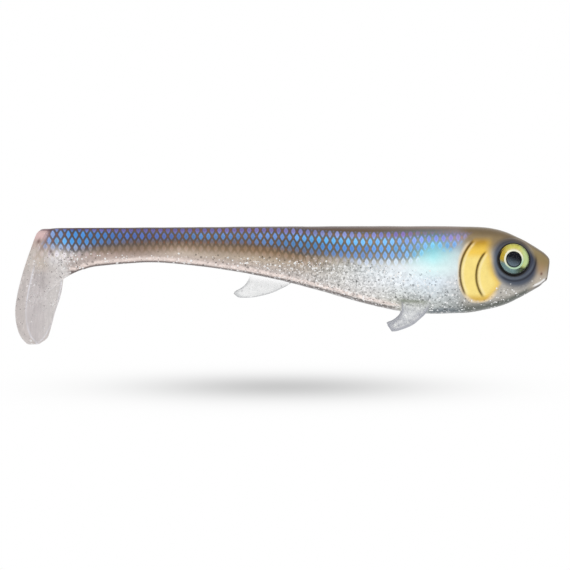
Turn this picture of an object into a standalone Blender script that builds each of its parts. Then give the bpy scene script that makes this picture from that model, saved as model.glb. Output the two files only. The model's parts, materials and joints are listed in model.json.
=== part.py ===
"""Soft paddle-tail swimbait: a two-colour moulded fish body with 3-D eyes, fins and a tail paddle.

Frame: the origin is the centre of the flat nose, +X points forward out of the nose, +Z is up and
+Y is the fish's left. The tables below are in millimetres and the model is in metres. The tail is
modelled kicked to the left, the way the soft stem has taken its set.
"""
from math import asin, cos, pi, radians, sin

import bmesh
import bpy
from mathutils import Matrix, Vector

MM = 0.001
SHARP_ANGLE = radians(50.0)

# Driving dimensions, in millimetres and degrees.
GAP = 0.3                 # clearance between touching pieces
SECTION_POWER = 2.3       # superellipse exponent of the body's cross-section
BACK_START = -14.0        # the brown back shot begins here, above the eye
HINGE_X = {"front": -103.0, "mid": -143.0, "rear": -176.0, "kick": -204.0}
FLEX_HALF = {"front": 4.0, "mid": 3.7, "rear": 3.6, "kick": 5.0}
TAIL_KICK = -35.0         # set of the paddle about the kick hinge, from straight
PADDLE_THICKNESS = 4.5
PADDLE_TOP = 17.6
PADDLE_BOTTOM = -31.7
LOBE_HINGE_Z = -10.0
LOBE_FLEX_HALF = 2.0
EYE_X = -15.3
EYE_Z = 4.7
EYE_RADIUS = 6.3
EYE_POCKET_DEPTH = 1.6
FIN_SPLAY = 0.77          # outward run of a pectoral fin for each unit that it drops

# Body profile: x, back line z, belly line z, half width.
BODY_PROFILE = (
    (0.0, 4.3, -4.3, 3.6),
    (-0.9, 5.6, -4.9, 4.3),
    (-3.4, 8.0, -6.4, 5.4),
    (-8.6, 11.4, -9.4, 7.2),
    (-13.7, 14.1, -12.2, 8.5),
    (-18.8, 16.2, -14.6, 9.6),
    (-26.5, 18.1, -16.8, 11.0),
    (-36.8, 18.6, -18.4, 12.2),
    (-50.0, 18.8, -18.7, 12.6),
    (-62.5, 18.8, -17.8, 12.1),
    (-77.9, 18.8, -14.6, 10.8),
    (-101.0, 18.7, -8.1, 8.5),
    (-124.1, 18.6, -2.5, 6.4),
    (-147.2, 18.4, 1.3, 4.9),
    (-170.3, 18.2, 3.3, 3.8),
    (-193.5, 18.1, 1.7, 3.1),
    (-203.7, 18.0, -0.4, 2.8),
    (-210.0, 17.9, -1.6, 2.6),
)

# Height at which the back shot meets the clear belly shot: x, z.
SHOT_LINE = (
    (0.0, 12.9),
    (-14.0, 12.9),
    (-24.0, 12.4),
    (-36.0, 9.0),
    (-50.0, 5.0),
    (-86.0, 3.5),
    (-107.0, 6.0),
    (-150.0, 8.6),
    (-210.0, 6.5),
)

# Paddle, straight behind the stem: z, half width, distance of its mid-plane behind the kick hinge.
PADDLE_PROFILE = (
    (17.6, 5.6, 11.3),
    (16.0, 8.2, 11.7),
    (10.0, 9.9, 13.3),
    (5.0, 11.3, 14.5),
    (0.0, 12.4, 15.7),
    (-5.0, 13.1, 16.8),
    (-10.0, 13.4, 17.9),
    (-15.0, 13.2, 19.0),
    (-20.0, 12.0, 20.0),
    (-25.0, 9.7, 20.7),
    (-29.0, 6.4, 21.1),
    (-31.7, 2.2, 21.3),
)

# Pectoral fin, root to tip: leading edge x, z; trailing edge x, z; half thickness.
PECTORAL_SECTIONS = (
    (-47.8, -12.4, -63.2, -11.3, 1.2),
    (-48.8, -16.6, -63.0, -14.5, 1.2),
    (-54.0, -19.9, -63.2, -17.4, 1.15),
    (-59.5, -23.2, -65.0, -20.2, 1.1),
    (-64.5, -25.2, -67.8, -22.0, 1.0),
    (-68.0, -26.1, -70.2, -23.1, 0.9),
)

# Anal fin, root to tip: leading edge x, z; trailing edge x, z; half thickness.
ANAL_SECTIONS = (
    (-109.3, -6.6, -128.4, -2.4, 0.7),
    (-111.8, -7.4, -129.2, -3.8, 0.7),
    (-116.4, -9.0, -130.8, -5.6, 0.65),
    (-121.6, -10.7, -132.9, -7.6, 0.6),
    (-127.5, -11.5, -134.8, -9.4, 0.5),
)

SHOT_RING_POINTS = 18
FLEX_RING_POINTS = 28
FIN_RING_POINTS = 16
EYE_SEGMENTS = 32

BACK_BROWN = (0.17, 0.15, 0.19)
BELLY_CLEAR = (0.58, 0.53, 0.49)
FIN_CLEAR = (0.66, 0.66, 0.65)
PADDLE_CLEAR = (0.62, 0.58, 0.57)
FOIL_LIME = (0.62, 0.64, 0.12)
LENS_CLEAR = (0.92, 0.94, 0.93)


# ---------------------------------------------------------------- profiles

def smooth_value(table, x, column):
    """Value of one column at x, on a smooth curve that never overshoots the table's points."""
    rows = sorted(table, key=lambda row: row[0])
    xs = [row[0] for row in rows]
    ys = [row[column] for row in rows]
    x = min(max(x, xs[0]), xs[-1])
    slopes = [(ys[i + 1] - ys[i]) / (xs[i + 1] - xs[i]) for i in range(len(xs) - 1)]
    tangents = [slopes[0]]
    for before, after in zip(slopes, slopes[1:]):
        tangents.append(2.0 * before * after / (before + after) if before * after > 0.0 else 0.0)
    tangents.append(slopes[-1])
    i = max(j for j in range(len(xs) - 1) if xs[j] <= x)
    step = xs[i + 1] - xs[i]
    t = (x - xs[i]) / step
    return (
        (1 + 2 * t) * (1 - t) ** 2 * ys[i]
        + t * (1 - t) ** 2 * step * tangents[i]
        + t * t * (3 - 2 * t) * ys[i + 1]
        + t * t * (t - 1) * step * tangents[i + 1]
    )


def body_section(x):
    """Back height, belly height, height of the widest line and half width at x."""
    top = smooth_value(BODY_PROFILE, x, 1)
    bottom = smooth_value(BODY_PROFILE, x, 2)
    half = smooth_value(BODY_PROFILE, x, 3)
    return top, bottom, 0.5 * (top + bottom), half


def signed_power(value, power):
    return abs(value) ** power if value >= 0.0 else -(abs(value) ** power)


def skin_point(x, angle):
    """Point of the body's skin at station x; angle 0 is the left side and 90 degrees the back."""
    top, _, middle, half = body_section(x)
    power = 2.0 / SECTION_POWER
    y = half * signed_power(cos(angle), power)
    z = middle + (top - middle) * signed_power(sin(angle), power)
    return Vector((x, y, z))


def skin_angle(x, z):
    """Angle on the left side at which the skin reaches height z."""
    top, _, middle, _ = body_section(x)
    share = max(-1.0, min(1.0, (z - middle) / (top - middle)))
    return asin(signed_power(share, SECTION_POWER / 2.0))


def skin_half_width(x, z):
    return skin_point(x, skin_angle(x, z)).y


def shot_height(x):
    """Height of the flat joint between the two shots; ahead of the back shot it skims the skin."""
    top = body_section(x)[0]
    if x > BACK_START + 0.5 * GAP:
        return top - 0.02
    return smooth_value(SHOT_LINE, x, 1)


def smooth_step(t):
    t = min(max(t, 0.0), 1.0)
    return t * t * (3.0 - 2.0 * t)


def stations(start, end, spacing):
    """Evenly spaced x values from start back to end, both included."""
    count = max(2, round(abs(start - end) / spacing) + 1)
    return [start + (end - start) * i / (count - 1) for i in range(count)]


# ---------------------------------------------------------------- building

def clear_scene():
    for old in list(bpy.data.objects):
        bpy.data.objects.remove(old, do_unlink=True)


def soft_material(name, colour, roughness, metallic=0.0):
    material = bpy.data.materials.new(name)
    material.use_nodes = True
    shader = material.node_tree.nodes["Principled BSDF"]
    shader.inputs["Base Color"].default_value = (*colour, 1.0)
    shader.inputs["Roughness"].default_value = roughness
    shader.inputs["Metallic"].default_value = metallic
    return material


def finish_object(name, mesh, material, origin, parent):
    """Object for a mesh; a parent's turn carries what was laid out straight behind it."""
    mesh.materials.append(material)
    mesh.shade_smooth()
    mesh.set_sharp_from_angle(angle=SHARP_ANGLE)
    result = bpy.data.objects.new(name, mesh)
    result.location = Vector(origin) * MM
    if parent:
        result.location -= parent.location
        result.parent = parent
    bpy.context.scene.collection.objects.link(result)
    return result


def loft(name, rings, material, origin=(0.0, 0.0, 0.0), parent=None):
    """Closed solid through rings of millimetre points, with its object's origin at origin."""
    offset = Vector(origin)
    shape = bmesh.new()
    rows = [[shape.verts.new((Vector(point) - offset) * MM) for point in ring] for ring in rings]
    count = len(rows[0])
    for front, behind in zip(rows, rows[1:]):
        for i in range(count):
            j = (i + 1) % count
            shape.faces.new((front[i], front[j], behind[j], behind[i]))
    shape.faces.new(rows[0])
    shape.faces.new(rows[-1])
    bmesh.ops.recalc_face_normals(shape, faces=shape.faces)
    mesh = bpy.data.meshes.new(name)
    shape.to_mesh(mesh)
    shape.free()
    return finish_object(name, mesh, material, origin, parent)


def turned_empty(name, origin, turn):
    """Empty on a joint's axis, turned about the vertical by so many degrees."""
    result = bpy.data.objects.new(name, None)
    result.location = Vector(origin) * MM
    result.rotation_euler = (0.0, 0.0, radians(turn))
    bpy.context.scene.collection.objects.link(result)
    return result


# ---------------------------------------------------------------- body

def back_ring(x):
    start = skin_angle(x, shot_height(x) + 0.5 * GAP)
    step = (pi - 2.0 * start) / (SHOT_RING_POINTS - 1)
    return [skin_point(x, start + step * i) for i in range(SHOT_RING_POINTS)]


def belly_ring(x):
    start = skin_angle(x, shot_height(x) - 0.5 * GAP)
    step = (pi + 2.0 * start) / (SHOT_RING_POINTS - 1)
    return [skin_point(x, pi - start + step * i) for i in range(SHOT_RING_POINTS)]


def whole_ring(x):
    step = 2.0 * pi / FLEX_RING_POINTS
    return [skin_point(x, step * i) for i in range(FLEX_RING_POINTS)]


def hinge_point(name):
    return (HINGE_X[name], 0.0, 0.0)


def segment(name, start, end, pivot):
    """One length of the body: its brown back shot over its clear belly shot."""
    xs = stations(start, end, 5.0)
    back = soft_material(name + "_back", BACK_BROWN, 0.3)
    belly = soft_material(name + "_belly", BELLY_CLEAR, 0.25)
    loft(name + "_back", [back_ring(x) for x in xs], back, pivot)
    loft(name + "_belly", [belly_ring(x) for x in xs], belly, pivot)


def flex_band(name, hinge, pivot):
    """Band of the moulding that bends where two lengths of the body meet."""
    half = FLEX_HALF[hinge] - GAP
    xs = stations(HINGE_X[hinge] + half, HINGE_X[hinge] - half, 1.6)
    loft(name, [whole_ring(x) for x in xs], soft_material(name, BELLY_CLEAR, 0.25), pivot)


def trunk():
    """Head and shoulders: the clear shot with its flat nose, and the back shot from above the eye."""
    rear = HINGE_X["front"] + FLEX_HALF["front"]
    head = [0.0, -0.9, -2.0, -3.4, -5.6, -8.6, -11.2, BACK_START + GAP, BACK_START]
    body = stations(BACK_START, rear, 4.5)[1:]
    belly_material = soft_material("trunk_belly", BELLY_CLEAR, 0.25)
    belly = loft("trunk_belly", [belly_ring(x) for x in head + body], belly_material)
    back_material = soft_material("trunk_back", BACK_BROWN, 0.3)
    loft("trunk_back", [back_ring(x) for x in [BACK_START] + body], back_material)
    return belly


# ---------------------------------------------------------------- eyes

def eye_frame(side):
    """Matrix whose +Z leaves the skin at the eye; side is +1 for the left eye, -1 for the right."""
    half = skin_half_width(EYE_X, EYE_Z)
    reach = 3.0
    slope_x = (skin_half_width(EYE_X + reach, EYE_Z) - skin_half_width(EYE_X - reach, EYE_Z)) / (2 * reach)
    slope_z = (skin_half_width(EYE_X, EYE_Z + reach) - skin_half_width(EYE_X, EYE_Z - reach)) / (2 * reach)
    outward = Vector((-slope_x, side, -slope_z)).normalized()
    forward = Vector((1.0, 0.0, 0.0))
    forward = (forward - outward * forward.dot(outward)).normalized()
    upward = outward.cross(forward)
    matrix = Matrix((forward, upward, outward)).transposed().to_4x4()
    matrix.translation = Vector((EYE_X, side * half, EYE_Z))
    return matrix


def eye_ring(matrix, radius, height):
    step = 2.0 * pi / EYE_SEGMENTS
    points = [Vector((radius * cos(step * i), radius * sin(step * i), height)) for i in range(EYE_SEGMENTS)]
    return [matrix @ point for point in points]


def eye(side, name):
    """Foil disc at the bottom of the eye's pocket, and the clear dome over it."""
    matrix = eye_frame(side)
    foil_bottom = -EYE_POCKET_DEPTH + GAP
    foil_top = foil_bottom + 0.5
    foil = soft_material("eye_foil_" + name, FOIL_LIME, 0.25, 0.6)
    loft("eye_foil_" + name, [eye_ring(matrix, EYE_RADIUS, z) for z in (foil_bottom, foil_top)], foil)
    lens_base = foil_top + GAP
    dome_rise = 2.1
    rings = [eye_ring(matrix, EYE_RADIUS, lens_base)]
    for step in range(7):
        turn = radians(6.0 + 13.0 * step)
        rings.append(eye_ring(matrix, EYE_RADIUS * cos(turn), lens_base + 0.3 + dome_rise * sin(turn)))
    loft("eye_lens_" + name, rings, soft_material("eye_lens_" + name, LENS_CLEAR, 0.05))


def eye_pocket(body, side, name):
    """Round flat-bottomed pocket that one eye sits in."""
    matrix = eye_frame(side)
    radius = EYE_RADIUS + GAP
    rings = [eye_ring(matrix, radius, z) for z in (-EYE_POCKET_DEPTH, 8.0)]
    cutter = loft("cut_pocket_" + name, rings, soft_material("cut_pocket_" + name, BELLY_CLEAR, 0.5))
    cutter.hide_render = True
    cutter.display_type = "WIRE"
    cut = body.modifiers.new("pocket_" + name, "BOOLEAN")
    cut.operation = "DIFFERENCE"
    cut.solver = "EXACT"
    cut.object = cutter


# ---------------------------------------------------------------- fins

def blade_ring(lead, trail, normal, half_thickness):
    """Oval section of a fin from its leading to its trailing edge."""
    middle = 0.5 * (lead + trail)
    chord = 0.5 * (lead - trail)
    ring = []
    for i in range(FIN_RING_POINTS):
        angle = 2.0 * pi * i / FIN_RING_POINTS
        along = signed_power(cos(angle), 0.75)
        across = signed_power(sin(angle), 0.75)
        ring.append(middle + chord * along + normal * (half_thickness * across))
    return ring


def pectoral_root(side):
    """Front and rear ends of a pectoral fin's root line, just clear of the flank."""
    lead_x, lead_z, trail_x, trail_z, half_thickness = PECTORAL_SECTIONS[0]
    clear = half_thickness + 2.0 * GAP
    front = Vector((lead_x, side * (skin_half_width(lead_x, lead_z) + clear), lead_z))
    rear = Vector((trail_x, side * (skin_half_width(trail_x, trail_z) + clear), trail_z))
    return front, rear


def pectoral_fin(side, name):
    """Broad fin that sweeps out, down and back from its root line on the flank."""
    front, rear = pectoral_root(side)
    out_down = Vector((0.0, side * FIN_SPLAY, -1.0))
    normal = (front - rear).cross(out_down).normalized()
    rings = []
    for lead_x, lead_z, trail_x, trail_z, half_thickness in PECTORAL_SECTIONS:
        corners = []
        for x, z in ((lead_x, lead_z), (trail_x, trail_z)):
            share = (x - rear.x) / (front.x - rear.x)
            root = rear + (front - rear) * share
            drop = root.z - z
            corners.append(Vector((x, root.y + side * FIN_SPLAY * drop, z)))
        rings.append(blade_ring(corners[0], corners[1], normal, half_thickness))
    pivot = 0.5 * (front + rear)
    loft("pectoral_fin_" + name, rings, soft_material("pectoral_fin_" + name, FIN_CLEAR, 0.2), pivot)


def anal_fin():
    """Thin fin on the centre line behind the belly."""
    rings = []
    for lead_x, lead_z, trail_x, trail_z, half_thickness in ANAL_SECTIONS:
        lead = Vector((lead_x, 0.0, lead_z))
        trail = Vector((trail_x, 0.0, trail_z))
        rings.append(blade_ring(lead, trail, Vector((0.0, 1.0, 0.0)), half_thickness))
    root = ANAL_SECTIONS[0]
    pivot = Vector((0.5 * (root[0] + root[2]), 0.0, 0.5 * (root[1] + root[3])))
    loft("anal_fin", rings, soft_material("anal_fin", FIN_CLEAR, 0.2), pivot)


# ---------------------------------------------------------------- tail

def kicked(point, share):
    """Point of the stem carried by its share of the tail's kick, about the kick hinge."""
    pivot = Vector(hinge_point("kick"))
    return pivot + Matrix.Rotation(radians(TAIL_KICK) * share, 3, "Z") @ (point - pivot)


def kick_band():
    """Band of the stem that bends sideways and carries the paddle."""
    half = FLEX_HALF["kick"]
    start = HINGE_X["kick"] + half
    xs = stations(start - GAP, start - 2.0 * half + GAP, 1.2)
    rings = []
    for x in xs:
        share = smooth_step((start - x) / (2.0 * half))
        rings.append([kicked(point, share) for point in whole_ring(x)])
    loft("flex_kick", rings, soft_material("flex_kick", BELLY_CLEAR, 0.25))


def paddle_mid_x(z):
    """Station of the paddle's mid-plane, in the straight tail."""
    return HINGE_X["kick"] - smooth_value(PADDLE_PROFILE, z, 2)


def plate_ring(z):
    """Horizontal section of the paddle, a flat plate with full round edges."""
    half_width = smooth_value(PADDLE_PROFILE, z, 1)
    half = 0.5 * PADDLE_THICKNESS
    edge = min(PADDLE_TOP - z, z - PADDLE_BOTTOM)
    if edge < half:
        half *= 0.45 + 0.55 * (edge / half) ** 0.5
    corner_steps = 6
    ring = []
    for side in (1.0, -1.0):
        for i in range(corner_steps + 1):
            angle = -0.5 * pi + pi * i / corner_steps
            y = side * (half_width - half + half * cos(angle))
            x = paddle_mid_x(z) + side * half * sin(angle)
            ring.append(Vector((x, y, z)))
    return ring


def plate(name, z_values, origin, parent):
    rings = [plate_ring(z) for z in z_values]
    loft(name, rings, soft_material(name, PADDLE_CLEAR, 0.25), origin, parent)


def paddle_web(parent):
    """Gusset that carries the stem down the paddle's front face."""
    start_x = HINGE_X["kick"] - FLEX_HALF["kick"]
    end_bottom = LOBE_HINGE_Z + LOBE_FLEX_HALF + 1.0
    start_bottom = body_section(start_x)[1]
    rings = []
    for share in (0.0, 0.25, 0.5, 0.75, 1.0):
        bottom = start_bottom + (end_bottom - start_bottom) * share ** 1.6
        top = body_section(start_x)[0] - 0.6 * share
        ring = []
        for i in range(FLEX_RING_POINTS):
            angle = 2.0 * pi * i / FLEX_RING_POINTS
            up = signed_power(sin(angle), 2.0 / SECTION_POWER)
            z = 0.5 * (top + bottom) + 0.5 * (top - bottom) * up
            face = paddle_mid_x(z) + 0.5 * PADDLE_THICKNESS + 1.5 * GAP
            half = 2.6 + 0.5 * share
            y = half * signed_power(cos(angle), 2.0 / SECTION_POWER)
            ring.append(Vector((start_x + (face - start_x) * share, y, z)))
        rings.append(ring)
    loft("paddle_web", rings, soft_material("paddle_web", PADDLE_CLEAR, 0.25), hinge_point("kick"), parent)


def paddle():
    """Upper plate with its gusset, the soft band below it and the free lobe, all kicked to the left."""
    kick_pivot = turned_empty("kick_pivot", hinge_point("kick"), TAIL_KICK)
    upper_end = LOBE_HINGE_Z + LOBE_FLEX_HALF
    lower_start = LOBE_HINGE_Z - LOBE_FLEX_HALF
    edge_steps = (0.0, 0.5, 1.2, 0.5 * PADDLE_THICKNESS)
    upper = [PADDLE_TOP - step for step in edge_steps]
    upper += stations(PADDLE_TOP - PADDLE_THICKNESS, upper_end, 3.0)
    band = stations(upper_end - GAP, lower_start + GAP, 1.2)
    lobe = stations(lower_start, PADDLE_BOTTOM + PADDLE_THICKNESS, 2.5)
    lobe += [PADDLE_BOTTOM + step for step in reversed(edge_steps)]
    lobe_hinge = (paddle_mid_x(LOBE_HINGE_Z), 0.0, LOBE_HINGE_Z)
    plate("paddle_plate", upper, hinge_point("kick"), kick_pivot)
    plate("flex_lobe", band, hinge_point("kick"), kick_pivot)
    plate("paddle_lobe", lobe, lobe_hinge, kick_pivot)
    paddle_web(kick_pivot)


# ---------------------------------------------------------------- assembly

def build():
    clear_scene()
    belly = trunk()
    for side, name in ((1.0, "left"), (-1.0, "right")):
        eye_pocket(belly, side, name)
        eye(side, name)
        pectoral_fin(side, name)
    lengths = (("mid", "front", "mid"), ("rear", "mid", "rear"), ("stem", "rear", "kick"))
    for name, ahead, behind in lengths:
        start = HINGE_X[ahead] - FLEX_HALF[ahead]
        end = HINGE_X[behind] + FLEX_HALF[behind]
        segment(name, start, end, hinge_point(ahead))
        flex_band("flex_" + ahead, ahead, hinge_point(ahead))
    anal_fin()
    kick_band()
    paddle()


build()
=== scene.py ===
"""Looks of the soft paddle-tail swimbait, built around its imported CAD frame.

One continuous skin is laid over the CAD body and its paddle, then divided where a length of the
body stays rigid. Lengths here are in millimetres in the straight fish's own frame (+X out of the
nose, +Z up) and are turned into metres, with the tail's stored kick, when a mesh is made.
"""
import json
from contextlib import contextmanager
from functools import partialmethod
from math import atan2, cos, degrees, pi, radians, sin

import bmesh
import bpy
import numpy as np
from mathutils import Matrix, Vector


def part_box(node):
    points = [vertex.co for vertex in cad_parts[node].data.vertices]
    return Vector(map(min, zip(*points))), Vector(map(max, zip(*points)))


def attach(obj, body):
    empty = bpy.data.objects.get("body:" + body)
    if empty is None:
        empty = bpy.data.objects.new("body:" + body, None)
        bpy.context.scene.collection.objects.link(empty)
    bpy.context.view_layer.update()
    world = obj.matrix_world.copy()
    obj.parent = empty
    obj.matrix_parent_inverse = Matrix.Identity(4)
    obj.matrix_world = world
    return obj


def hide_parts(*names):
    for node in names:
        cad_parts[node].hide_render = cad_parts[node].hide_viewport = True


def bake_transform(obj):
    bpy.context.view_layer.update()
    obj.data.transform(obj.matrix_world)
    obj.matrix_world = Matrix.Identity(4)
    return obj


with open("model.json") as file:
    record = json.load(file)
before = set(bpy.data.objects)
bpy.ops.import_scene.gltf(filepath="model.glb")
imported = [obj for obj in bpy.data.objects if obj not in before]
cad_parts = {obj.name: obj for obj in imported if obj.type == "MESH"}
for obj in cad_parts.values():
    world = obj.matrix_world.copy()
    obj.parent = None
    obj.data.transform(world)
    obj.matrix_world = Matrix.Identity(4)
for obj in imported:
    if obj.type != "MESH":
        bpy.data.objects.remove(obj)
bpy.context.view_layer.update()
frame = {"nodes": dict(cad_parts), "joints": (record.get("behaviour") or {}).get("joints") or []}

MM = 0.001
MERGE_DISTANCE = 1e-7     # metres
joints = {joint["name"]: joint for joint in frame["joints"]}


# ---------------------------------------------------------------- small maths

def smooth_step(t):
    """0 to 1 with soft ends."""
    t = np.clip(t, 0.0, 1.0)
    return t * t * (3.0 - 2.0 * t)


def ramp(value, start, end):
    """Smooth 0 to 1 as value goes from start to end, in either direction."""
    return smooth_step((value - start) / (end - start))


def bump(distance, width):
    """1 at no distance, fading on both sides."""
    return np.exp(-((distance / width) ** 2))


def signed_power(value, power):
    """Power of the size, with the sign kept."""
    return np.sign(value) * np.abs(value) ** power


def follow(x, *points):
    """Straight runs through (x, value) points given from tail to head."""
    return np.interp(x, [p[0] for p in points], [p[1] for p in points])


def srgb(red, green, blue):
    """Linear colour of a display colour from 0 to 255."""
    share = np.array([red, green, blue], float) / 255.0
    return np.where(share <= 0.04045, share / 12.92, ((share + 0.055) / 1.055) ** 2.4)


def follow_colour(x, *points):
    """Linear colour at x between (x, red, green, blue) points given from tail to head."""
    keys = [p[0] for p in points]
    colours = np.array([srgb(*p[1:]) for p in points])
    return np.stack([np.interp(x, keys, colours[:, i]) for i in range(3)], axis=-1)


GLOSS_LIFT = 0.035        # light that the clear gloss adds over any paint


def under_gloss(colour):
    """Paint that shows as the given colour once the gloss over it has added its light."""
    return np.clip((colour - GLOSS_LIFT) / (1.0 - GLOSS_LIFT), 0.003, 1.0)


def mix(base, other, amount):
    """Colours blended by an amount at each point."""
    amount = np.asarray(amount)[..., None]
    return base * (1.0 - amount) + other * amount


def monotone_curve(xs, ys):
    """Smooth function through the points that never overshoots them."""
    order = np.argsort(xs)
    xs = np.asarray(xs, float)[order]
    ys = np.asarray(ys, float)[order]
    slopes = np.diff(ys) / np.diff(xs)
    before, after = slopes[:-1], slopes[1:]
    same_way = before * after > 0.0
    total = np.where(same_way, before + after, 1.0)
    inner = np.where(same_way, 2.0 * before * after / total, 0.0)
    tangents = np.concatenate([slopes[:1], inner, slopes[-1:]])

    def value(x):
        """Value of the function at x, held beyond its ends."""
        x = np.clip(x, xs[0], xs[-1])
        i = np.clip(np.searchsorted(xs, x, side="right") - 1, 0, len(xs) - 2)
        step = xs[i + 1] - xs[i]
        t = (x - xs[i]) / step
        return (
            (1 + 2 * t) * (1 - t) ** 2 * ys[i] + t * (1 - t) ** 2 * step * tangents[i]
            + t * t * (3 - 2 * t) * ys[i + 1] + t * t * (t - 1) * step * tangents[i + 1]
        )

    return value


# ---------------------------------------------------------------- what the CAD frame says

def node_points(*names):
    """Vertices of CAD nodes, in millimetres."""
    found = []
    for name in names:
        mesh = frame["nodes"][name].data
        points = np.zeros(len(mesh.vertices) * 3)
        mesh.vertices.foreach_get("co", points)
        found.append(points.reshape(-1, 3) / MM)
    return np.vstack(found)


def hinge(name):
    """Place of a joint, in millimetres."""
    return np.array(joints[name]["pos_m"]) / MM


KICK_HINGE = hinge("paddle_kick")
lobe_axis = joints["lobe_flex"]["axis"]
TAIL_KICK = -degrees(atan2(lobe_axis[0], lobe_axis[1]))   # stored turn of the paddle
KICK_ZONE = 10.0          # the stem bends over this far each side of the kick hinge
SECTION_POWER = 2.3       # superellipse exponent of the body's section
FULL_RING = 90            # a whole section of the CAD body has at least this many vertices


def turned(points, share):
    """Points carried by their share of the tail's stored kick."""
    angle = radians(TAIL_KICK) * share
    x = points[..., 0] - KICK_HINGE[0]
    y = points[..., 1] - KICK_HINGE[1]
    result = points.copy()
    result[..., 0] = KICK_HINGE[0] + x * np.cos(angle) - y * np.sin(angle)
    result[..., 1] = KICK_HINGE[1] + x * np.sin(angle) + y * np.cos(angle)
    return result


def kicked(points):
    """Straight fish to the stored pose."""
    share = smooth_step((KICK_HINGE[0] + KICK_ZONE - points[..., 0]) / (2.0 * KICK_ZONE))
    return turned(points, share)


def measure_body():
    """Back line, belly line and half width of the CAD body as functions of x."""
    points = node_points(
        "trunk_back", "trunk_belly", "mid_back", "mid_belly", "rear_back", "rear_belly", "stem_back",
        "stem_belly"
    )
    keys = np.round(points[:, 0], 1)
    stations, counts = np.unique(keys, return_counts=True)
    rows = []
    for x in stations[counts >= FULL_RING]:
        ring = points[keys == x]
        rows.append((x, ring[:, 2].max(), ring[:, 2].min(), np.abs(ring[:, 1]).max()))
    rows = np.array(rows)
    rows = rows[np.concatenate([np.diff(rows[:, 0]) > 0.6, [True]])]
    return [monotone_curve(rows[:, 0], rows[:, i]) for i in (1, 2, 3)]


def measure_paddle():
    """Half width and mid-plane x of the straight paddle as functions of z, and its ends and thickness."""
    points = turned(node_points("paddle_plate", "flex_lobe", "paddle_lobe"), -1.0)
    keys = np.round(points[:, 2], 2)
    rows = []
    for z in np.unique(keys):
        ring = points[keys == z]
        rows.append(
            (z, np.abs(ring[:, 1]).max(), 0.5 * (ring[:, 0].min() + ring[:, 0].max()), np.ptp(ring[:, 0]))
        )
    rows = np.array(rows)
    half = monotone_curve(rows[:, 0], rows[:, 1])
    middle = monotone_curve(rows[:, 0], rows[:, 2])
    return half, middle, rows[-1, 0], rows[0, 0], rows[:, 3].max()


body_top, body_bottom, body_half = measure_body()
plate_half, plate_middle, PLATE_TOP, PLATE_BOTTOM, PLATE_THICKNESS = measure_paddle()


def skin_half_width(x, z):
    """Half width of the skin at station x and height z."""
    top, bottom = body_top(x), body_bottom(x)
    share = np.clip(np.abs(z - 0.5 * (top + bottom)) / (0.5 * (top - bottom)), 0.0, 1.0)
    return body_half(x) * (1.0 - share ** SECTION_POWER) ** (1.0 / SECTION_POWER)


def web_drop(x):
    """How far the belly line runs down into the web under the end of the stem."""
    return 1.6 * np.clip((-196.5 - x) / 6.5, 0.0, 1.0) ** 2


EYE_LIFT = 1.0            # the printed foil fills its seat up to the dome
EYE_BACK = 0.4            # and sits this far back from the middle of the seat


class EyeFrame:
    """Where one eye sits: its centre, outward axis and radius, measured on the CAD foil disc."""

    def __init__(self, side, name):
        self.side = side
        self.name = name
        foil = node_points("eye_foil_" + name)
        lens = node_points("eye_lens_" + name)
        centre = foil.mean(0)
        axis = np.linalg.svd(foil - centre)[2][2]
        self.outward = axis if axis[1] * side > 0 else -axis
        forward = np.array([1.0, 0.0, 0.0])
        forward = forward - self.outward * forward.dot(self.outward)
        self.forward = forward / np.linalg.norm(forward)
        up = np.cross(self.forward, self.outward)
        self.up = up if up[2] > 0 else -up
        heights = (foil - centre) @ self.outward
        self.centre = centre + self.outward * (heights.max() + EYE_LIFT) - self.forward * EYE_BACK
        self.radius = np.linalg.norm(foil - centre, axis=1).max()
        self.lens_height = ((lens - self.centre) @ self.outward).max()

    def place(self, across, above, out):
        """Millimetre points from forward, upward and outward distances on this eye."""
        return (
            self.centre + np.asarray(across)[..., None] * self.forward
            + np.asarray(above)[..., None] * self.up + np.asarray(out)[..., None] * self.outward
        )

    def polar(self, points):
        """Radius and angle of points about the eye's axis; the angle is 0 ahead and 90 degrees above."""
        offset = points - self.centre
        across = offset @ self.forward
        above = offset @ self.up
        return np.hypot(across, above), np.arctan2(above, across)


EYES = [EyeFrame(1.0, "left"), EyeFrame(-1.0, "right")]
EYE_X = EYES[0].centre[0] + 0.3
EYE_Z = EYES[0].centre[2]


# ---------------------------------------------------------------- relief of the moulding

# Gill slits: centre x and z, radius, start and end angle in degrees, depth.
GILL_SLITS = ((-19.2, -1.1, 19.5, 132.0, 212.0, 0.75), (-16.5, -2.3, 15.2, 134.0, 219.0, 0.75))
FIN_ROOT_FRONT = -50.4    # crease above the root of a pectoral fin
FIN_ROOT_REAR = -63.4
FIN_ROOT_Z = -12.5


def slit_place(x, z, slit, soft_end):
    """Distance outside a gill slit's arc, and 1 along the arc with soft ends of so many degrees."""
    centre_x, centre_z, radius, start, end, _ = slit
    distance = np.hypot(x - centre_x, z - centre_z) - radius
    angle = np.degrees(np.arctan2(z - centre_z, x - centre_x)) % 360.0
    return distance, ramp(angle, start, start + soft_end) * ramp(angle, end, end - soft_end)


def arc_groove(x, z, slit):
    """Depth of one gill slit, with the cover's edge standing a little proud ahead of it."""
    distance, along = slit_place(x, z, slit, 12.0)
    slit_cut = -slit[-1] * bump(distance, 0.42)
    cover = 0.38 * ramp(distance, -5.0, -0.7) * ramp(distance, 0.1, -0.5)
    return along * (slit_cut + cover)


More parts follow.
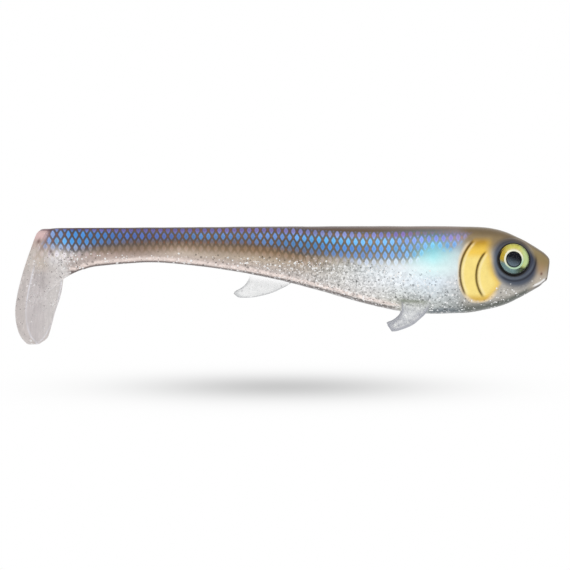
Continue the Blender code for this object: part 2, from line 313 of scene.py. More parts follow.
def socket_dip(points):
    """Hollow under each eye, hidden by the rim, and the swelling of the orbit around it."""
    depth = np.zeros(points.shape[:-1])
    for eye in EYES:
        radius, _ = eye.polar(points)
        near = points[..., 1] * eye.side > 0.0
        hollow = -3.2 * ramp(radius, eye.radius + 1.2, eye.radius + 0.7)
        swell = 0.45 * bump(radius - (eye.radius + 2.0), 1.5)
        crease = -0.14 * bump(radius - (eye.radius + 3.4), 0.35)
        depth += np.where(near & (radius < 14.0), hollow + swell + crease, 0.0)
    return depth


def root_crease(x, z):
    """Share of the crease over a pectoral fin's root."""
    level = FIN_ROOT_Z - 0.03 * (x - FIN_ROOT_REAR)
    rear = ramp(x, FIN_ROOT_REAR - 0.8, FIN_ROOT_REAR)
    return bump(z - level + 0.5, 0.6) * rear * ramp(x, FIN_ROOT_FRONT - 2.0, FIN_ROOT_FRONT - 6.0)


def relief(points):
    """How far the moulding's detail stands out from the plain body, along its normal."""
    x, y, z = points[..., 0], points[..., 1], points[..., 2]
    out = socket_dip(points)
    for slit in GILL_SLITS:
        out += arc_groove(x, z, slit)
    out -= 0.1 * root_crease(x, z)
    mouth_z = -3.6 - 0.42 * np.clip(-x - 1.2, 0.0, 9.0) - 0.02 * np.clip(-x - 1.2, 0.0, 9.0) ** 2
    out -= 0.32 * bump(z - mouth_z, 0.4) * ramp(x, -9.5, -7.0)
    out += 0.06 * bump(y, 0.28) * ramp(x, -1.0, -4.0)
    wave = np.sin(x * 0.31 + 1.7 * np.sin(z * 0.23)) * np.sin(z * 0.37 + 0.9 * np.sin(x * 0.17))
    out += 0.05 * wave
    return out


# ---------------------------------------------------------------- paint of the moulding

SCALE_PITCH = 3.13        # scale print: distance between scales along a row
SCALE_PHASE = -98.9       # one scale of row 0 is centred here
SCALE_ROUNDNESS = 4.5     # superellipse exponent of a scale


def scale_row(x, z):
    """Row number of the scale print at a point: 0 is the brightest row and -1 the one above it."""
    centre = follow(
        x, (-213, 15.3), (-205, 15.2), (-190, 14.7), (-150, 14.4), (-127, 14.5), (-120, 14.6),
        (-110, 14.0), (-99, 13.1), (-87, 12.3), (-80, 12.1), (-70, 12.2), (-60, 12.6), (-55, 13.2),
        (-50, 13.6), (-45, 13.7), (-40, 14.1)
    )
    pitch = follow(x, (-205, 2.8), (-190, 2.6), (-120, 2.55), (-100, 2.75), (-85, 2.85), (-40, 2.9))
    return (centre - z) / pitch


def print_place(x):
    """Distance along the scale print, which is stretched a little towards the tail."""
    return x + follow(x, (-213, 1.3), (-208, 0.8), (-190, 0.65), (-150, 0.35), (-140, 0.25), (-124, 0.0))


def last_row(x):
    """Row at which the blue print fades into the ground."""
    return follow(
        x, (-213, 2.2), (-203, 2.3), (-192, 1.6), (-180, 1.1), (-170, 0.9), (-155, 0.85), (-142, 1.05),
        (-127, 1.4), (-116, 2.0), (-104, 2.45), (-92, 2.6), (-86, 3.0), (-80, 3.5), (-62, 3.6),
        (-57, 3.2), (-53, 1.9), (-49, 1.4), (-44, 2.1), (-40, 2.6)
    )


def print_limits(x, z, row):
    """Where the print ends at the back line, behind the gill cover and at the tail."""
    start = follow(x, (-105, 0.15), (-90, 0.8), (-78, 1.5))
    from_back = smooth_step((body_top(x) - z - start) / (0.6 + 0.4 * start))
    from_back = from_back * (1.0 - ramp(x, -118.0, -108.0) * ramp(row, -1.35, -1.6))
    head_end = ramp(x - 1.1 * (z - 12.0), -36.5, -40.5)
    tail_end = ramp(x - 0.7 * (z - 13.0), -217.2, -215.0)
    return from_back * head_end * tail_end


def scale_strength(x, z, row):
    """How much of the blue print is there."""
    fade_out = 1.0 - smooth_step((row - last_row(x) + 0.65) / 1.15)
    first_row = 1.0 - follow(x, (-100, 0.05), (-66, 0.1), (-56, 0.5), (-40, 0.6)) * ramp(row, -0.4, -0.7)
    return fade_out * first_row * print_limits(x, z, row)


def net_strength(x, z, row):
    """How much of the dark net between the scales is there."""
    early = follow(x, (-105, 0.1), (-88, 1.1))
    fade_out = 1.0 - smooth_step((row - last_row(x) + early) / 1.0)
    cyan = 1.0 - 0.85 * bump(np.hypot((x + 50.0) / 1.25, z - 6.0), 6.5)
    at_tail = 1.0 - 0.75 * ramp(x, -204.0, -211.0) * ramp(row, 1.0, 1.9)
    level = follow(x, (-215, 0.65), (-206, 0.82), (-110, 0.82), (-90, 0.8), (-60, 0.74), (-40, 0.6))
    return fade_out * cyan * print_limits(x, z, row) * at_tail * level


def ghost_strength(x, z, row):
    """How much of the faint tan print under the blue is there."""
    past = row - last_row(x)
    reach = follow(x, (-205, 2.2), (-100, 2.2), (-86, 1.1), (-60, 0.7))
    fade = ramp(past, -1.2, -0.4) * ramp(past, reach, reach - 1.3)
    level = follow(x, (-205, 0.5), (-192, 0.7), (-100, 0.9), (-88, 0.5), (-60, 0.3))
    return fade * level * ramp(x, -53.0, -60.0) * print_limits(x, z, row)


def scale_colour(x, row):
    """Colour of the scales, by place along the body and row."""
    above = (
        (-214, 150, 156, 214), (-205, 102, 114, 188), (-190, 110, 110, 178), (-175, 106, 103, 164),
        (-150, 120, 116, 180), (-130, 130, 124, 190), (-115, 132, 130, 194), (-100, 132, 142, 200),
        (-90, 144, 156, 214), (-78, 140, 148, 214), (-68, 138, 136, 212), (-62, 156, 130, 216),
        (-54, 152, 130, 172), (-40, 150, 128, 146)
    )
    brightest = (
        (-216, 176, 196, 246), (-210, 130, 176, 240), (-205, 92, 162, 234), (-192, 88, 142, 212),
        (-180, 96, 124, 196), (-165, 102, 120, 184), (-150, 100, 142, 196), (-130, 108, 142, 200),
        (-115, 112, 150, 216), (-108, 106, 164, 226), (-99, 98, 178, 240), (-85, 118, 190, 246),
        (-68, 128, 188, 250), (-60, 138, 168, 238), (-48, 134, 152, 234), (-42, 152, 144, 214),
        (-38, 150, 142, 182)
    )
    second = (
        (-216, 170, 194, 248), (-210, 132, 200, 255), (-205, 92, 166, 236), (-190, 100, 135, 192),
        (-180, 112, 115, 145), (-160, 118, 110, 120), (-135, 116, 122, 150), (-120, 106, 144, 200),
        (-104, 92, 146, 200), (-92, 98, 154, 224), (-78, 112, 160, 234), (-66, 125, 186, 248),
        (-56, 140, 186, 248), (-50, 128, 204, 240), (-42, 130, 178, 238)
    )
    third = (
        (-212, 190, 212, 250), (-205, 164, 194, 240), (-190, 130, 128, 158), (-118, 118, 126, 148),
        (-104, 112, 134, 172), (-92, 116, 152, 208), (-78, 134, 170, 230), (-62, 142, 190, 245),
        (-54, 150, 220, 250), (-42, 140, 205, 248)
    )
    lowest = (
        (-205, 165, 175, 205), (-100, 150, 150, 160), (-88, 186, 196, 220), (-75, 216, 228, 246),
        (-58, 220, 238, 250), (-45, 190, 245, 250)
    )
    colour = follow_colour(x, *above)
    for points, start, end in (
        (brightest, -0.75, -0.45), (second, 0.35, 0.7), (third, 1.35, 1.7), (lowest, 2.35, 2.75)
    ):
        colour = mix(colour, follow_colour(x, *points), ramp(row, start, end))
    return colour


def net_colour(x):
    """Colour of the net between the scales."""
    return follow_colour(
        x, (-216, 120, 112, 122), (-205, 86, 86, 92), (-175, 91, 84, 82), (-150, 104, 93, 83),
        (-124, 100, 91, 81), (-107, 90, 88, 86), (-90, 102, 104, 102), (-77, 116, 116, 106),
        (-62, 112, 120, 126), (-50, 112, 132, 140), (-40, 128, 124, 150)
    )


def layered(z, knots):
    """Colour at height z from (height, colour) knots given from the back down to the belly."""
    colour = np.array(knots[0][1])
    colour = np.broadcast_to(colour, z.shape + (3,)).copy()
    for (upper, _), (lower, below) in zip(knots, knots[1:]):
        share = np.clip((upper - z) / np.maximum(upper - lower, 0.05), 0.0, 1.0)
        colour = mix(colour, below, share)
    return colour


def flank_colour(x, z):
    """Ground colour under the scale print, from the brown back to the pale belly, with painted highlight
    and painted shade.
    """
    top, bottom = body_top(x), body_bottom(x)
    back = follow_colour(
        x, (-210, 92, 72, 81), (-175, 93, 82, 85), (-107, 103, 90, 88), (-45, 128, 110, 98)
    )
    line = follow_colour(
        x, (-210, 99, 79, 74), (-175, 84, 71, 66), (-141, 95, 82, 67), (-107, 98, 79, 61),
        (-77, 112, 96, 80), (-50, 112, 118, 118), (-40, 140, 130, 130)
    )
    under = follow_colour(
        x, (-205, 132, 130, 138), (-192, 110, 104, 98), (-175, 102, 94, 86), (-158, 118, 104, 92),
        (-141, 114, 104, 94), (-124, 118, 102, 86), (-107, 126, 110, 90), (-90, 134, 130, 122),
        (-77, 152, 158, 156), (-64, 158, 178, 180), (-50, 148, 214, 226), (-40, 172, 190, 202)
    )
    middle = follow_colour(
        x, (-205, 172, 170, 174), (-192, 146, 132, 120), (-175, 140, 121, 106), (-158, 160, 141, 122),
        (-141, 150, 132, 112), (-124, 146, 124, 100), (-107, 150, 132, 110), (-90, 176, 170, 158),
        (-77, 196, 204, 202), (-64, 206, 220, 222), (-50, 184, 244, 250), (-40, 205, 224, 226)
    )
    pale = follow_colour(
        x, (-205, 196, 186, 182), (-192, 188, 170, 162), (-175, 178, 160, 151), (-158, 200, 185, 171),
        (-141, 188, 173, 158), (-124, 190, 174, 156), (-107, 182, 168, 153), (-90, 192, 190, 184),
        (-77, 216, 224, 228), (-64, 240, 247, 252), (-50, 228, 255, 255), (-40, 226, 240, 242)
    )
    # The low and belly tones darken towards the head, partly as painted shade under the body.
    low = follow_colour(
        x, (-205, 183, 171, 166), (-175, 196, 181, 175), (-141, 198, 184, 177), (-107, 197, 190, 186),
        (-90, 214, 212, 209), (-77, 230, 232, 234), (-64, 234, 241, 247), (-50, 228, 240, 250),
        (-40, 218, 221, 224), (-30, 176, 177, 174)
    )
    belly = follow_colour(
        x, (-205, 176, 164, 160), (-175, 198, 182, 177), (-141, 199, 186, 180), (-107, 197, 188, 184),
        (-77, 214, 210, 206), (-64, 198, 199, 190), (-50, 200, 204, 202), (-40, 168, 172, 171),
        (-30, 130, 131, 124)
    )
    under_z = follow(
        x, (-205, 9.8), (-192, 11.6), (-175, 13.0), (-158, 12.8), (-141, 12.8), (-124, 12.0), (-107, 8.9),
        (-90, 8.0), (-77, 7.6), (-64, 8.0), (-50, 8.6), (-40, 10.0)
    )
    middle_z = follow(
        x, (-205, 8.0), (-192, 8.4), (-158, 10.0), (-141, 9.2), (-124, 8.4), (-107, 6.0), (-90, 5.4),
        (-64, 4.8), (-50, 5.6), (-40, 7.0)
    )
    pale_z = follow(
        x, (-205, 5.5), (-175, 6.2), (-158, 7.5), (-141, 6.0), (-124, 4.8), (-107, 2.6), (-90, 2.4),
        (-64, 1.4), (-40, 1.0)
    )
    low_z = follow(x, (-205, 2.0), (-175, 4.6), (-141, 3.2), (-107, -2.4), (-90, -5.0), (-40, -4.5))
    belly_z = follow(
        x, (-205, -1.0), (-175, 3.6), (-141, 1.8), (-107, -5.0), (-90, -10.0), (-64, -14.0), (-30, -15.0)
    )
    heights = (top - 0.6, top - 1.9, under_z, middle_z, pale_z, low_z, belly_z)
    colour = layered(z, list(zip(heights, (back, line, under, middle, pale, low, belly))))
    edge_height = z - bottom + web_drop(x)
    rear = ramp(x, -60.0, -70.0) * ramp(x, -208.0, -204.0)
    thick = follow(x, (-200, 0.7), (-140, 0.75), (-110, 1.1), (-88, 1.5), (-68, 1.5))
    # Painted highlight in a pale band just above the belly edge, and painted shade in a dark line along the
    # edge itself.
    colour = mix(colour, srgb(247, 231, 224), 0.8 * bump(edge_height - thick - 0.9, 0.85) * rear)
    colour = mix(colour, srgb(96, 84, 82), 0.88 * ramp(edge_height, thick + 0.25, thick - 0.35) * rear)
    # Painted shade: the belly edge darkens under the head.
    front = ramp(x, -66.0, -54.0) * ramp(x, -14.0, -24.0)
    chin = 0.8 * ramp(edge_height, 3.0, 0.8) + 0.1 * ramp(edge_height, 6.0, 2.0)
    colour = mix(colour, srgb(98, 110, 114), chin * front)
    patch = ramp(x, FIN_ROOT_REAR, FIN_ROOT_REAR + 1.0) * ramp(x, FIN_ROOT_FRONT, FIN_ROOT_FRONT - 5.0)
    patch = patch * ramp(z, FIN_ROOT_Z + 0.2, FIN_ROOT_Z - 1.0)
    colour = mix(colour, srgb(196, 200, 188), 0.7 * patch)
    colour = mix(colour, srgb(84, 96, 108), 0.6 * bump(np.hypot((x + 46.0) / 6.0, (z + 17.3) / 1.6), 1.0))
    # Painted shade in the crease over the pectoral fin's root and along the root's rear edge.
    rear_edge_shade = bump(x - FIN_ROOT_REAR - 0.5, 0.55) * ramp(z, FIN_ROOT_Z + 1.0, FIN_ROOT_Z)
    return mix(colour, srgb(146, 152, 138), np.clip(0.85 * root_crease(x, z) + 0.6 * rear_edge_shade, 0.0, 1.0))


def bare_head_colour(x, z, colour):
    """Olive crown, grey cheek and brown nose, darkened below by painted shade, and a painted highlight on
    the lip.
    """
    top, bottom = body_top(x), body_bottom(x)
    crown = mix(srgb(144, 126, 96), srgb(122, 105, 80), ramp(top - z, 4.0, 1.2))
    # Painted shade: the cheek darkens towards the belly edge.
    shade_height = follow(x, (-34, 6.0), (-24, 4.4), (-13, 3.2))
    cheek = mix(srgb(186, 182, 175), srgb(96, 100, 94), ramp(z - bottom, shade_height, 1.2))
    base = mix(cheek, crown, ramp(z, 6.0, 11.5))
    colour = mix(colour, base, ramp(x, -40.5, -34.5))
    nose = mix(srgb(188, 178, 164), srgb(148, 130, 94), ramp(z, -3.5, 3.5))
    nose = mix(nose, srgb(176, 138, 98), 0.5 * bump(np.hypot(x + 4.0, z - 0.5), 2.6))
    # Painted shade under the nose's lower edge.
    nose = mix(nose, srgb(112, 104, 98), 0.8 * ramp(z - bottom, 1.7, 0.4))
    nose = mix(nose, srgb(104, 66, 58), 0.9 * bump(np.hypot(x + 3.6, z + 1.5), 0.6))
    nose = mix(nose, srgb(104, 88, 68), 0.7 * ramp(top - z, 1.6, 0.4))
    colour = mix(colour, nose, ramp(x, -11.5, -6.0))
    colour = mix(colour, srgb(92, 80, 72), 0.65 * ramp(x, -0.9, -0.25))
    # Painted highlight: a white line along the lip, with painted shade in a dark line under it.
    lip = z + 4.35 + 0.5 * (-x - 2.0)
    lip_highlight_run = ramp(x, -8.0, -6.0) * ramp(x, -0.6, -1.6)
    colour = mix(colour, srgb(86, 76, 74), 0.8 * bump(lip + 0.85, 0.45) * lip_highlight_run)
    return mix(colour, srgb(255, 255, 255), bump(lip, 0.36) * lip_highlight_run)


def gill_cover_colour(x, z, colour):
    """Gold patch of the gill cover and the pale fringe around it."""
    distance, _ = slit_place(x, z, GILL_SLITS[0], 9.0)
    front_edge = follow(
        z, (-15, -30.5), (-14, -29.4), (-12.3, -25.6), (-8, -21.8), (-5.4, -20.4), (-1.6, -22.6),
        (2.8, -24.0), (7.8, -24.4), (13, -24.0)
    )
    lower_corner = np.hypot(np.minimum(x + 27.8, 0.0), np.minimum(z + 3.4, 0.0))
    fringe = ramp(distance, 2.3, 0.7) * ramp(x, front_edge + 1.6, front_edge - 0.6)
    fringe = fringe * ramp(z, 13.5, 10.5) * ramp(z, -14.3, -13.1) * ramp(lower_corner, 12.4, 11.2)
    fringe = fringe * np.maximum(ramp(distance, -2.5, -1.0), ramp(z, -8.0, -11.0))
    colour = mix(colour, srgb(246, 226, 192), 0.85 * fringe)
    soft = follow(z, (-9, 2.0), (2, 1.7), (6, 2.2), (9, 3.4))
    share = ramp(distance, 1.0, -0.1) * ramp(x, front_edge + 0.4, front_edge - 1.3 * soft)
    share = share * ramp(z, 15.0, 11.5) * ramp(lower_corner, 11.5, 9.8) * ramp(z, -14.5, -12.2)
    gold = mix(srgb(254, 230, 142), srgb(248, 208, 94), ramp(z, 4.5, 8.0))
    gold = mix(gold, srgb(180, 138, 42), ramp(z, 8.5, 12.5))
    gold = mix(gold, srgb(232, 190, 84), 0.8 * ramp(x, front_edge - 5.0, front_edge - 0.5))
    gold = mix(gold, srgb(214, 172, 74), 0.85 * ramp(z, -9.5, -12.5))
    return mix(colour, gold, share)


def orbit_colour(x, z, colour):
    """Slate around the eye, with painted socket shadow as a dark rim, painted shade along a fold and two
    painted highlights under the eye.
    """
    ahead, above = x - EYE_X, z - EYE_Z
    from_rim = np.hypot(ahead, above) - EYES[0].radius
    around = np.arctan2(above, ahead)
    lean = 0.3 * np.maximum(above, 0.0) + 0.1 * np.minimum(above, 0.0)
    from_shade = np.hypot(ahead + lean, (above + 2.1) / 1.18)
    slate = mix(srgb(84, 94, 110), srgb(62, 68, 86), 0.5 + 0.5 * np.cos(around))
    slate = mix(slate, srgb(76, 76, 82), ramp(np.sin(around), 0.2, 0.9))
    share = ramp(from_shade, 10.5, follow(above, (-12.0, 6.2), (-7.0, 7.9)))
    colour = mix(colour, slate, 0.97 * share)
    # Painted shadow of the socket: a dark ring round the eye, widest at the lower left.
    socket_shadow_width = 0.2 + 0.9 * (0.5 - 0.5 * np.cos(around - radians(35.0)))
    colour = mix(colour, srgb(14, 18, 22), 0.95 * ramp(from_rim, socket_shadow_width + 0.6, socket_shadow_width))
    # Painted shade along a fold under the eye.
    fold = bump(from_rim - 2.9, 0.45) * ramp(around, -2.6, -2.0) * ramp(around, 0.3, -0.2)
    colour = mix(colour, srgb(34, 36, 46), 0.75 * fold)
    # Painted highlights: two pale arcs under the eye.
    low = ramp(np.sin(around), 0.1, -0.5)
    colour = mix(colour, srgb(130, 138, 144), 0.35 * bump(from_rim - 1.9, 0.45) * low)
    return mix(colour, srgb(112, 118, 124), 0.2 * bump(from_rim - 4.2, 0.9) * low)


def slit_colour(x, z, colour):
    """Gill slits darkened by painted shade, each with a painted highlight along its far side."""
    for slit in GILL_SLITS:
        distance, along = slit_place(x, z, slit, 9.0)
        # Painted shade in each slit and a painted highlight beside it.
        colour = mix(colour, srgb(84, 60, 14), 0.96 * along * bump(distance, 0.46))
        colour = mix(colour, srgb(255, 242, 200), 0.5 * along * bump(distance + 1.1, 0.5))
    return colour


def paddle_share(x, z):
    """0 on the painted stem and 1 on the clear paddle and its web."""
    edge = follow(z, (-6, -203.5), (1, -205.0), (5, -209.0), (9, -212.5), (14, -213.2))
    return smooth_step((edge - x) / 3.0)


def paddle_colour(points, x, z, clear_share, flank):
    """Clear plastic of the paddle, browner and pinker near its top, with a painted highlight where its face
    meets its edge.
    """
    straight_x, across = points[..., 0], np.abs(points[..., 1])
    clear = mix(srgb(217, 210, 210), srgb(232, 227, 225), ramp(x, -221.0, -211.0))
    clear = mix(clear, srgb(246, 242, 240), 0.7 * ramp(z, -7.0, 0.0) * ramp(x, -217.0, -212.0))
    clear = mix(clear, srgb(228, 216, 204), ramp(z, -3.0, 4.0) * ramp(x, -213.0, -217.0))
    clear = mix(clear, srgb(216, 196, 188), ramp(z, 7.0, 10.5))
    clear = mix(clear, srgb(240, 208, 206), ramp(z, 12.0, 14.0))
    on_face = ramp(straight_x - plate_middle(z), -0.2, 0.8)
    from_edge = plate_half(z) - across
    strip = ramp(from_edge, 1.9, 1.1) * ramp(z, 12.0, 6.0)
    clear = mix(clear, srgb(222, 214, 210), 0.7 * strip)
    # Painted highlight along the line where the face turns into the edge.
    line = bump(from_edge - 1.9, 0.5) * on_face * ramp(z, 6.0, -1.0)
    line = 0.9 * line * follow(z, (-31, 0.9), (-26, 0.8), (-22, 0.35), (-15, 0.5), (-12, 1.0))
    clear = mix(clear, srgb(250, 248, 255), line)
    at_back = ramp(straight_x - plate_middle(z), -0.9, -1.5) * strip
    top_rim = ramp(PLATE_TOP - z, 1.2, 0.5) + at_back * ramp(z, 9.0, 12.0)
    clear = mix(clear, srgb(118, 86, 96), 0.8 * np.clip(top_rim, 0.0, 1.0))
    spots = bump(np.hypot(x + 219.0, z - 12.4), 1.1) + bump(np.hypot(x + 213.8, z - 7.8), 0.9)
    colour = mix(flank, clear, clear_share)
    colour = mix(colour, srgb(252, 252, 255), 0.95 * bump(np.hypot((x + 211.5) / 1.5, z - 6.0), 3.4))
    return mix(colour, srgb(104, 66, 66), 0.75 * np.clip(spots, 0.0, 1.0) * on_face)


def glitter_amount(x, z):
    """How thick the silver flake lies under the surface."""
    amount = ramp(z - scale_limit(x), 1.5, -2.5) * follow(
        x, (-214, 0.35), (-206, 0.6), (-190, 0.42), (-150, 0.42), (-130, 0.62), (-112, 0.85), (-98, 1.2),
        (-88, 1.35), (-78, 1.0), (-66, 1.0), (-46, 0.75), (-36, 0.5), (-28, 0.4), (-18, 0.5), (-12, 0.35),
        (-7, 0.05), (0, 0.0)
    )
    amount = amount + 0.3 * bump(np.hypot((x + 208.0) / 1.5, z - 4.5), 3.5)
    amount = amount * (1.0 - 0.8 * root_crease(x, z))
    amount = amount * (1.0 - 0.8 * bump(np.hypot((x + 50.0) / 1.6, z - 3.0), 8.0))
    in_gold = ramp(x, -40.0, -37.5) * ramp(x, -21.0, -24.0) * ramp(z, -13.5, -11.0)
    from_eye = np.hypot(x - EYE_X, z - EYE_Z)
    amount = amount * (1.0 - in_gold) * ramp(from_eye, 9.0, 12.5)
    on_paddle = 0.05 + 0.3 * ramp(z, -18.0, -13.0) * ramp(z, 6.0, 1.0)
    on_paddle = on_paddle + 0.4 * bump(np.hypot(x + 211.0, z - 4.5), 3.0)
    on_body = ramp(x, -213.0, -210.0)
    return on_paddle * (1.0 - on_body) + amount * on_body


def bare_share(points):
    """1 on the paddle's left half and back, which carry no print."""
    x, y, z = points[..., 0], points[..., 1], points[..., 2]
    left = ramp(y, -1.0, 2.0) * ramp(x, -205.5, -208.0)
    back = ramp(x - plate_middle(z), 0.4, -0.4) * ramp(x, -205.0, -206.0)
    return np.maximum(left, back)


def skin_fields(points):
    """Everything that the skin's material reads at each point of the straight fish."""
    seen = kicked(points)
    x, z = seen[..., 0], seen[..., 2]
    row = scale_row(x, z)
    bare = bare_share(points)
    printed = 1.0 - bare
    clear = np.maximum(paddle_share(x, z), bare)
    ground = flank_colour(x, z)
    for paint in (bare_head_colour, gill_cover_colour, orbit_colour, slit_colour):
        ground = paint(points[..., 0], points[..., 2], ground)
    ground = paddle_colour(points, x, z, clear, ground)
    height = z - body_bottom(x)
    pearl = ramp(x, -110.0, -70.0) * ramp(x, -20.0, -27.0) * ramp(height, 2.0, 8.0)
    return {
        "paint": under_gloss(ground),
        "scale_paint": under_gloss(scale_colour(x, row)),
        "net_paint": under_gloss(net_colour(x)),
        "scale_row": row,
        "print_x": print_place(x),
        "scale_share": scale_strength(x, z, row) * printed,
        "net_share": net_strength(x, z, row) * printed,
        "ghost_share": ghost_strength(x, z, row) * printed,
        "glitter": glitter_amount(x, z),
        "clear": clear,
        "pearl": pearl,
        "rest": points,
    }


def scale_limit(x):
    """Height below which glitter shows through the paint."""
    return follow(
        x, (-214, 9.0), (-200, 8.5), (-150, 7.5), (-120, 5.8), (-100, 5.0), (-88, 4.0), (-70, 1.5),
        (-40, -1.5), (-25, -6.5), (-8, -4.0), (0, 0.0)
    )


# ---------------------------------------------------------------- the skin's grid

RING_POINTS = 256
RING_ANGLES = np.arange(RING_POINTS) * 2.0 * pi / RING_POINTS
STEM_END = -203.0         # the skin leaves the stem here for the paddle's face
WEB_CORNER = (-208.2, 0.0, -3.3)   # the web under the stem is drawn towards this corner
PLATE_EDGE = 1.6          # reach of the paddle's rounded edge
EDGE_POWER = 0.62         # and how square it is


def body_rings(stations):
    """Plain skin of the straight body, one ring for each station."""
    x = stations[:, None]
    angle = RING_ANGLES[None, :]
    top, bottom, half = body_top(x), body_bottom(x) - web_drop(x), body_half(x)
    power = 2.0 / SECTION_POWER
    y = half * signed_power(np.cos(angle), power)
    z = 0.5 * (top + bottom) + 0.5 * (top - bottom) * signed_power(np.sin(angle), power)
    return np.stack([np.broadcast_to(x, y.shape), y, z], axis=-1)


def nose_rings():
    """Flat facet of the nose, from its middle out to a rounded edge."""
    edge = body_rings(np.array([0.0]))[0]
    rings = []
    for share in (0.0, 0.2, 0.4, 0.6, 0.75, 0.86, 0.93, 0.97):
        ring = edge * np.array([1.0, share, share])
        ring[:, 0] = -0.25 * share ** 8
        rings.append(ring)
    return np.array(rings)


def lean_nose(points):
    """The facet leans back towards the chin."""
    fade = ramp(points[..., 0], -5.0, -0.5)
    lean = 0.14 * (points[..., 2] - body_top(np.array(0.0)))
    result = points.copy()
    result[..., 0] += lean * fade
    return result


def plate_outline(share):
    """Paddle's outline as y and z on the left half, from the middle of its top at 0 to its bottom at 1."""
    z = PLATE_TOP + (PLATE_BOTTOM - PLATE_TOP) * np.linspace(0.0, 1.0, 400)
    y = plate_half(z)
    y, z = np.concatenate([[0.0], y, [0.0]]), np.concatenate([[PLATE_TOP], z, [PLATE_BOTTOM]])
    length = np.concatenate([[0.0], np.cumsum(np.hypot(np.diff(y), np.diff(z)))])
    length /= length[-1]
    even = np.linspace(0.0, 1.0, 241)
    y_even, z_even = np.interp(even, length, y), np.interp(even, length, z)
    for _ in range(6):
        for values in (y_even, z_even):
            values[1:-1] = 0.25 * values[:-2] + 0.5 * values[1:-1] + 0.25 * values[2:]
    return np.interp(share, even, y_even), np.interp(share, even, z_even)


def outline_share(ring):
    """Place of a ring's points along the paddle's half outline, from 0 at its top, and which are left."""
    step = np.hypot(*np.diff(np.vstack([ring, ring[:1]])[:, 1:], axis=0).T)
    quarter = RING_POINTS // 4
    to_left = np.concatenate([[0.0], np.cumsum(step[quarter:3 * quarter])])
    share = np.zeros(RING_POINTS)
    share[quarter:3 * quarter + 1] = to_left / to_left[-1]
    mirror = (2 * quarter - np.arange(RING_POINTS)) % RING_POINTS
    left = np.cos(RING_ANGLES) >= 0.0
    share[left] = share[mirror[left]]
    return share, left


def outline_normals(share, nudge=0.002):
    """Outward directions of the paddle's outline, upright at its two ends."""
    y0, z0 = plate_outline(np.clip(share - nudge, 0.0, 1.0))
    y1, z1 = plate_outline(np.clip(share + nudge, 0.0, 1.0))
    length = np.hypot(y1 - y0, z1 - z0)
    at_top, at_bottom = share < nudge, share > 1.0 - nudge
    normal_y = np.where(at_top | at_bottom, 0.0, -(z1 - z0) / length)
    normal_z = np.where(at_top, 1.0, np.where(at_bottom, -1.0, (y1 - y0) / length))
    return normal_y, normal_z


def paddle_rings():
    """Skin from the stem's end over a fillet, the paddle's face, its edge and its back."""
    stem = body_rings(np.array([STEM_END]))[0]
    share, left = outline_share(stem)
    side = np.where(left, 1.0, -1.0)
    out_y, out_z = plate_outline(share)
    normal_y, normal_z = outline_normals(share)
    half = 0.5 * PLATE_THICKNESS
    left_edge = 0.9 * bump(share - 0.88, 0.05) - 1.5 * bump(share - 0.69, 0.11)
    growth = 0.5 * ramp(share, 0.35, 0.65) + np.where(left, left_edge, 0.0)

    def edge_point(turn):
        """Points of the rounded edge, from the face at 0 degrees to the back at 180."""
        run = PLATE_EDGE * (signed_power(np.sin(turn), EDGE_POWER) - 1.0) + growth
        z = out_z + normal_z * run
        x = plate_middle(z) + half * signed_power(np.cos(turn), EDGE_POWER)
        return np.stack([x, side * (out_y + normal_y * run), z], axis=-1)

    first_turn = 0.5 * pi * ramp(share, 0.15, 0.02)
    start = edge_point(first_turn)
    face_x = plate_middle(stem[:, 2]) + half
    corner = np.stack([face_x, stem[:, 1], stem[:, 2]], axis=-1)
    web_share = ramp(share, 0.55, 1.0)[:, None]
    distance = np.maximum(np.linalg.norm((start - corner)[:, 1:], axis=1), 0.01)
    reach = 3.2 + 8.5 * ramp(share, 0.72, 1.0)
    reach_share = np.clip(reach / distance, 0.0, 0.62)

    def face_point(t):
        """Points of the face, from under the stem at 0 to the edge at 1."""
        y = corner[:, 1] + (start[:, 1] - corner[:, 1]) * t
        z = corner[:, 2] + (start[:, 2] - corner[:, 2]) * t
        x = plate_middle(z) + half + t * (start[:, 0] - plate_middle(start[:, 2]) - half)
        return np.stack([x, y, z], axis=-1)

    fillet_end = face_point(reach_share)
    rings = []
    pull = corner + (np.array(WEB_CORNER) - corner) * web_share * np.array([1.0, 0.0, 1.0])
    for t in np.linspace(0.0, 1.0, 30)[1:]:
        near_end = t * t * (3.0 * (1 - t) * face_point(0.72 * reach_share) + t * fillet_end)
        rings.append((1 - t) ** 3 * stem + 3 * (1 - t) ** 2 * t * pull + near_end)
    for t in np.linspace(0.0, 1.0, 34)[1:]:
        rings.append(face_point(reach_share + (1.0 - reach_share) * t))
    for t in np.linspace(0.0, 1.0, 15)[1:]:
        rings.append(edge_point(first_turn + (pi - first_turn) * t))
    last = rings[-1]
    middle = np.array([0.0, 0.0, 0.5 * (PLATE_TOP + PLATE_BOTTOM)])
    for t in np.linspace(0.0, 1.0, 26)[1:]:
        ring = last + (middle - last) * t
        ring[:, 0] = plate_middle(ring[:, 2]) - half
        rings.append(ring)
    return np.array(rings)


def spaced(start, end, spacing):
    """Even stations from start to end, about so far apart."""
    return np.linspace(start, end, int(round(abs(end - start) / spacing)) + 1)


SEAMS = (-123.0, -159.5, -190.5)   # rigid stretches where one skin piece hands over to the next
HEAD_END = -44.0
HEAD_SPACING = 0.35       # distance between the rings of the head
BODY_SPACINGS = (0.85, 0.85, 0.85, 0.5)   # and of each stretch behind it


